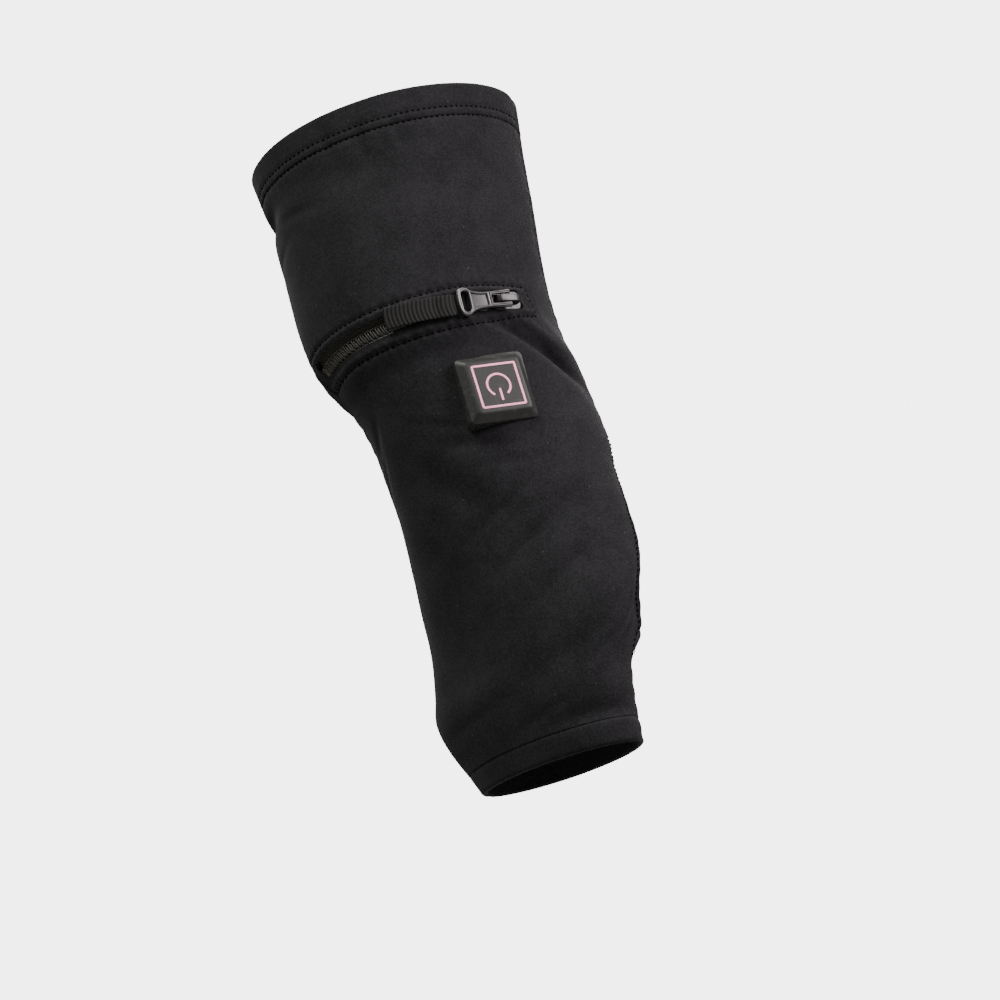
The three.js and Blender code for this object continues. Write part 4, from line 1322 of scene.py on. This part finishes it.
def smooth_route(route, step):
    """Evenly spaced points, half widths and lengths on a smooth curve through the route."""
    values = np.array([(*point, half) for point, half in route])
    fine = []
    for i in range(len(values) - 1):
        p0, p1, p2, p3 = (values[min(max(i + k, 0), len(values) - 1)] for k in (-1, 0, 1, 2))
        for t in np.linspace(0, 1, 24, endpoint=False):
            rise = t * t * (3 - 2 * t)
            ends = t * (1 - t) * ((p2 - p0) / 2 * (1 - t) - (p3 - p1) / 2 * t)
            fine.append(p1 + (p2 - p1) * rise + ends)
    fine = np.array(fine + [values[-1]])
    run = run_along(fine[:, :3])
    count = int(run[-1] / step)
    at = np.linspace(0, run[-1], count + 1)
    return np.stack([np.interp(at, run, fine[:, k]) for k in range(4)], -1), at


class GLOVE_OT_ribbon(bpy.types.Operator):
    """Make the ribbed ribbon that is looped through the puller's ring"""

    bl_idname = "glove.ribbon"
    bl_label = "Ribbon pull"

    def execute(self, context):
        sizes = context.scene.glove_sizes
        base = slide_frame()
        line, run = smooth_route(ribbon_route(), 0.16 * MM)
        rows, columns = len(run) - 1, 22
        bm, along, across = new_grid(rows, columns)
        k = np.rint(along * rows).astype(int)
        ahead, behind = line[np.minimum(k + 1, rows)], line[np.maximum(k - 1, 0)]
        tangent = ahead - behind
        size = np.hypot(tangent[:, 0], tangent[:, 2])
        outward = np.stack([-tangent[:, 2], np.zeros(len(k)), tangent[:, 0]], -1) / size[:, None]
        aside = (2 * across - 1) * line[k, 3]
        bow = 0.7 * MM * (1 - (aside / (RIBBON_WIDTH / 2)) ** 2)
        phase = 2 * np.pi * (run[k] + bow) / sizes.rib_pitch
        edge = smooth_step(RIBBON_WIDTH / 2 - np.abs(aside), 0, 0.5 * MM)
        rib = 0.3 * MM * np.abs(np.cos(phase / 2)) * (0.55 + 0.45 * edge)
        points = line[k, :3] + outward * (RIBBON_THICK / 2 - 0.2 * MM + rib)[:, None]
        points[:, 1] += aside
        set_uvs(bm, run[k] + bow, aside)
        set_places(bm, points)
        bmesh.ops.transform(bm, matrix=base, verts=bm.verts)
        turn_out(bm, sleeve_middle)
        piece = add_object(bm, "ribbon_pull_weave", material_named("grosgrain"))
        settle(thicken(piece, RIBBON_THICK - 0.08 * MM), "grosgrain", "ribbon_pull")
        return {"FINISHED"}


# Push button

# Levels of the button's side and top: height as a share of the rise, and inset as a share of the bevel.
BUTTON_LEVELS = (
    (0.12, 0.0),
    (0.17, 0.02),
    (0.22, 0.08),
    (0.5, 0.42),
    (0.84, 0.83),
    (0.92, 0.93),
    (0.97, 1.04),
    (0.995, 1.18),
    (1.0, 1.4),
    (1.0, 2.5),
    (1.0, 3.6),
    (1.0, 5.0),
)


def button_frame():
    place = frame_on_sleeve(BUTTON_HEIGHT, BUTTON_ROUND)
    tilt = Matrix.Rotation(math.radians(BUTTON_TILT), 4, "Y")
    return place @ tilt @ Matrix.Rotation(math.radians(BUTTON_LEAN), 4, "X")


def cloth_under(base, x, y):
    """How high the cloth lies under a place of the button, in the button's frame."""
    height = BUTTON_HEIGHT + y
    point = on_sleeve(height, go_round(height, BUTTON_ROUND, -x))
    return (base.inverted() @ Vector(point)).z


class GLOVE_OT_button(bpy.types.Operator):
    """Make the square rubber push button and its coloured marking"""

    bl_idname = "glove.button"
    bl_label = "Push button"

    def execute(self, context):
        base = button_frame()
        self.make_base(base)
        marking = material_named("marking")
        top = base @ Matrix.Translation((0, 0, BUTTON_RISE + 0.02 * MM))
        side = MARK_SIDE - MARK_LINE
        square = rounded_rectangle(side, side, 0.4 * MM)
        half = MARK_LINE / 2
        turns = np.radians(np.linspace(-90 + MARK_RING_GAP / 2, 270 - MARK_RING_GAP / 2, 49))
        outer, inner = (
            [(radius * math.cos(t), radius * math.sin(t)) for t in turns]
            for radius in (MARK_RING_RADIUS + half, MARK_RING_RADIUS - half)
        )
        bar = rounded_rectangle(MARK_LINE, MARK_BAR, 0.25 * MM, (0, -MARK_RING_RADIUS + 0.6 * MM))
        marks = {
            "indicator_frame": [shrink(square, -half), shrink(square, half)],
            "indicator_ring": [outer + inner[::-1]],
            "indicator_bar": [bar],
        }
        for name, loops in marks.items():
            bm = bmesh.new()
            merge_mesh(bm, curve_mesh(loops, 0.04 * MM, 0.05 * MM, 2), top)
            settle(add_solid(bm, name + "_ink", marking, 60), "marking", name)
        return {"FINISHED"}

    def make_base(self, base):
        corners = rounded_rectangle(BUTTON_SIDE, BUTTON_SIDE, BUTTON_CORNER)
        outline = np.array(corners + corners[:1])
        run = run_along(outline)
        rows = np.array([(0, 0), (0, 0), *BUTTON_LEVELS])
        bm, around, level = new_grid(120, len(rows) - 1)
        at = around * run[-1]
        x, y = np.interp(at, run, outline[:, 0]), np.interp(at, run, outline[:, 1])
        cloth = np.array([cloth_under(base, *place) for place in zip(x, y)])
        k = np.rint(level * (len(rows) - 1)).astype(int)
        heights, insets = rows[k, 0] * BUTTON_RISE, rows[k, 1] * BUTTON_BEVEL
        foot = cloth + 0.3 * MM
        heights = np.select([k == 0, k == 1], [cloth - 0.4 * MM, foot], np.maximum(heights, foot))
        shrunk = np.clip(1 - 2 * insets / BUTTON_SIDE, 0, 1)
        set_places(bm, np.stack([x * shrunk, y * shrunk, heights], -1))
        bmesh.ops.remove_doubles(bm, verts=bm.verts, dist=0.001 * MM)
        bmesh.ops.transform(bm, matrix=base, verts=bm.verts)
        bmesh.ops.recalc_face_normals(bm, faces=bm.faces)
        turn_out(bm, sleeve_middle)
        piece = add_object(bm, "button_base_rubber", material_named("button_rubber"))
        settle(piece, "button_rubber", "button_base")


# Stitching

THREAD_LIFT = 0.12 * MM


def add_stitch(bm, start, end, outward, width):
    """One stitch: a short round thread that dips into the cloth at both ends."""
    middle, along = (start + end) / 2, end - start
    side = outward.cross(along).normalized()
    verts = bmesh.ops.create_uvsphere(bm, u_segments=6, v_segments=5, radius=0.5)["verts"]
    turned = Matrix((along.normalized(), side, outward)).transposed()
    for vert in verts:
        z, x, y = vert.co
        local = Vector((x * along.length * 1.08, y * width, z * width))
        vert.co = middle + turned @ local


def stitch_row(bm, places, sizes):
    """Stitches along a row of points on the cloth with their outward directions."""
    points, outward = places
    run = run_along(points)
    pitch = sizes.stitch_length + sizes.stitch_gap
    count = int(run[-1] / pitch)
    pitch = run[-1] / count
    for i in range(count):
        ends = [i * pitch, i * pitch + sizes.stitch_length]
        start, end = (Vector([np.interp(at, run, points[:, k]) for k in range(3)]) for at in ends)
        normal = Vector([np.interp(ends[0], run, outward[:, k]) for k in range(3)]).normalized()
        add_stitch(bm, start, end, normal, sizes.thread_width)


def row_places(height, around, sizes, out):
    """Points on the worn cloth and its outward directions for a row of stitches."""
    points = cloth_points(height, around, sizes, out)
    outward = cloth_points(height, around, sizes, out + MM) - points
    return points, outward


class GLOVE_OT_stitching(bpy.types.Operator):
    """Sew the cuff hem, the thumb hole and the outline of the pocket slit"""

    bl_idname = "glove.stitching"
    bl_label = "Stitching"

    def execute(self, context):
        sizes = context.scene.glove_sizes
        thread = material_named("thread")
        bm = bmesh.new()
        for row in CUFF_ROWS:
            around = np.linspace(0, 360, 900)
            stitch_row(bm, row_places(np.full(900, FOREARM_LENGTH - row), around, sizes, THREAD_LIFT), sizes)
        settle(add_object(bm, "cuff_stitches", thread), "stretch_cloth")
        bm = bmesh.new()
        height, around = on_almond(np.linspace(0, 2 * np.pi, 700), THUMB_ROW)
        stitch_row(bm, row_places(height, around, sizes, THREAD_LIFT + 0.1 * MM), sizes)
        settle(add_object(bm, "thumb_hole_stitches", thread), "stretch_cloth")
        bm = bmesh.new()
        width, length = 2 * SLIT_ROW, SLIT_END - SLIT_START + 2 * SLIT_ROW_END
        corners = rounded_rectangle(length, width, 2 * MM, (SLIT_CENTRE, 0))
        loop = np.array(corners + corners[:1])
        run = run_along(loop)
        at = np.linspace(0, run[-1], 800)
        length = np.interp(at, run, loop[:, 0])
        aside = np.interp(at, run, loop[:, 1]) * slit_row(length) / SLIT_ROW
        stitch_row(bm, row_places(zip_height(length) + aside, zip_round(length), sizes, THREAD_LIFT), sizes)
        settle(add_object(bm, "pocket_stitches", thread), "stretch_cloth")
        return {"FINISHED"}


# Stage

VIEW_DISTANCE = 1.2
VIEW_ELEVATION = -20
VIEW_ROLL = 16
FRAME_WIDTH = 0.35
FRAME_SHIFT = (1.6 * MM, -13.6 * MM)
SENSOR = 36.0
FLOOR_HEIGHT = -620 * MM
FLOOR_WIDTH = 12
FLOOR_GLOW = 1.9
ROOM_STRENGTH = 0.2
BACKDROP_STRENGTH = 5.0

# Lights: name, direction from the glove, distance, size, power and colour
LIGHTS = (
    ("key", (-0.3, -1.0, 1.6), 1.6, 0.9, 47, (1, 1, 1)),
    ("fill", (1.3, -0.5, 0.45), 1.8, 0.8, 62, (1.0, 0.92, 0.97)),
    ("back", (0.3, 1.1, 0.9), 1.8, 1.2, 22, (1, 1, 1)),
)


def add_light(name, direction, distance, size, power, colour):
    data = bpy.data.lights.new(name, "AREA")
    data.shape = "DISK"
    data.size = size
    data.energy = power
    data.color = colour
    light = bpy.data.objects.new(name, data)
    bpy.context.scene.collection.objects.link(light)
    light.location = Vector(direction).normalized() * distance
    light.rotation_euler = (-light.location).to_track_quat("-Z", "Y").to_euler()


class GLOVE_OT_stage(bpy.types.Operator):
    """Make the pale floor, the soft lights and the camera"""

    bl_idname = "glove.stage"
    bl_label = "Stage"

    def execute(self, context):
        self.make_floor()
        self.make_lights(context.scene)
        self.make_camera(context.scene)
        return {"FINISHED"}

    def make_floor(self):
        bm = bmesh.new()
        bmesh.ops.create_grid(bm, x_segments=1, y_segments=1, size=FLOOR_WIDTH / 2)
        bmesh.ops.translate(bm, verts=bm.verts, vec=(0, 0, FLOOR_HEIGHT))
        floor = add_object(bm, "floor", material_named("floor"))

    def make_lights(self, scene):
        for light in LIGHTS:
            add_light(*light)
        world = bpy.data.worlds.new("studio")
        world.use_nodes = True
        w = Wiring(world.node_tree)
        room, backdrop = world.node_tree.nodes["Background"], w.node("ShaderNodeBackground")
        for background, strength in ((room, ROOM_STRENGTH), (backdrop, BACKDROP_STRENGTH)):
            background.inputs["Color"].default_value = (1, 1, 1, 1)
            background.inputs["Strength"].default_value = strength
        seen = w.node("ShaderNodeMixShader")
        w.feed(seen.inputs[0], w.node("ShaderNodeLightPath").outputs["Is Camera Ray"])
        w.feed(seen.inputs[1], room.outputs[0])
        w.feed(seen.inputs[2], backdrop.outputs[0])
        w.feed(world.node_tree.nodes["World Output"].inputs["Surface"], seen.outputs[0])
        scene.world = world

    def make_camera(self, scene):
        lift = math.radians(VIEW_ELEVATION)
        toward = Vector((0, -math.cos(lift), math.sin(lift)))
        level_up = Vector((0, math.sin(lift), math.cos(lift)))
        roll = math.radians(VIEW_ROLL)
        right = math.cos(roll) * Vector((1, 0, 0)) - math.sin(roll) * level_up
        up = math.sin(roll) * Vector((1, 0, 0)) + math.cos(roll) * level_up
        data = bpy.data.cameras.new("camera")
        data.sensor_width = SENSOR
        data.lens = SENSOR * VIEW_DISTANCE / FRAME_WIDTH
        camera = bpy.data.objects.new("camera", data)
        scene.collection.objects.link(camera)
        aim = right * FRAME_SHIFT[0] + up * FRAME_SHIFT[1]
        turned = Matrix((right, up, toward)).transposed().to_4x4()
        camera.matrix_world = Matrix.Translation(aim + toward * VIEW_DISTANCE) @ turned
        scene.camera = camera


def colour_property(label, description, default):
    return FloatVectorProperty(
        name=label, description=description, default=default, subtype="COLOR", size=3, min=0, max=1
    )


def length_property(label, description, default):
    shown = {"unit": "LENGTH", "min": 0, "precision": 5}
    return FloatProperty(name=label, description=description, default=default, **shown)


class GloveSizes(bpy.types.PropertyGroup):
    """Sizes of the fine detail"""

    stitch_length: length_property("Stitch length", "Length of one stitch on top of the cloth", 1.15 * MM)
    stitch_gap: length_property("Stitch gap", "Gap between one stitch and the next", 0.95 * MM)
    thread_width: length_property("Thread width", "Thickness of the sewing thread", 0.5 * MM)
    tooth_pitch: length_property("Tooth pitch", "Distance between two teeth of the coil", 1.05 * MM)
    rib_pitch: length_property("Rib pitch", "Distance between two ribs of the ribbon", 1.45 * MM)


class GloveColours(bpy.types.PropertyGroup):
    """Colours of the finishes"""

    cloth: colour_property("Cloth", "Stretch cloth", (0.009, 0.0085, 0.0092))
    tape: colour_property("Zip tape", "Woven zip tape", (0.03, 0.03, 0.0235))
    coil: colour_property("Zip coil", "Nylon coil", (0.085, 0.083, 0.068))
    end_piece: colour_property("End piece", "Moulded end of the coil", (0.075, 0.077, 0.055))
    ribbon: colour_property("Ribbon", "Grosgrain ribbon", (0.011, 0.0108, 0.0092))
    slider: colour_property("Slider", "Lacquered slider", (0.038, 0.037, 0.036))
    puller: colour_property("Puller", "Gunmetal puller", (0.11, 0.108, 0.107))
    button: colour_property("Button", "Moulded rubber", (0.0135, 0.014, 0.0118))
    marking: colour_property("Marking", "Printed marking", (0.80, 0.30, 0.42))
    thread: colour_property("Thread", "Sewing thread", (0.0008, 0.0008, 0.0009))
    floor: colour_property("Floor", "Studio floor", (0.4, 0.4, 0.4))


OPERATORS = (
    GLOVE_OT_sleeve_panels,
    GLOVE_OT_sleeve_hems,
    GLOVE_OT_zip_coil,
    GLOVE_OT_zip_slider,
    GLOVE_OT_ribbon,
    GLOVE_OT_button,
    GLOVE_OT_stitching,
    GLOVE_OT_stage,
)


class GLOVE_PT_panel(bpy.types.Panel):
    """Lists the glove's pieces"""

    bl_label = "Glove"
    bl_idname = "GLOVE_PT_panel"
    bl_space_type = "VIEW_3D"
    bl_region_type = "UI"
    bl_category = "Glove"

    def draw(self, context):
        for settings in (context.scene.glove_sizes, context.scene.glove_colours):
            for name in settings.__annotations__:
                self.layout.prop(settings, name)
        for operator in OPERATORS:
            self.layout.operator(operator.bl_idname)


CLASSES = (GloveSizes, GloveColours, *OPERATORS, GLOVE_PT_panel)


def register():
    for each in CLASSES:
        bpy.utils.register_class(each)
    bpy.types.Scene.glove_sizes = PointerProperty(type=GloveSizes)
    bpy.types.Scene.glove_colours = PointerProperty(type=GloveColours)


def unregister():
    del bpy.types.Scene.glove_sizes
    del bpy.types.Scene.glove_colours
    for each in reversed(CLASSES):
        bpy.utils.unregister_class(each)


def main():
    register()
    for operator in OPERATORS:
        group, name = operator.bl_idname.split(".")
        getattr(getattr(bpy.ops, group), name)()


if __name__ == "__main__":
    main()
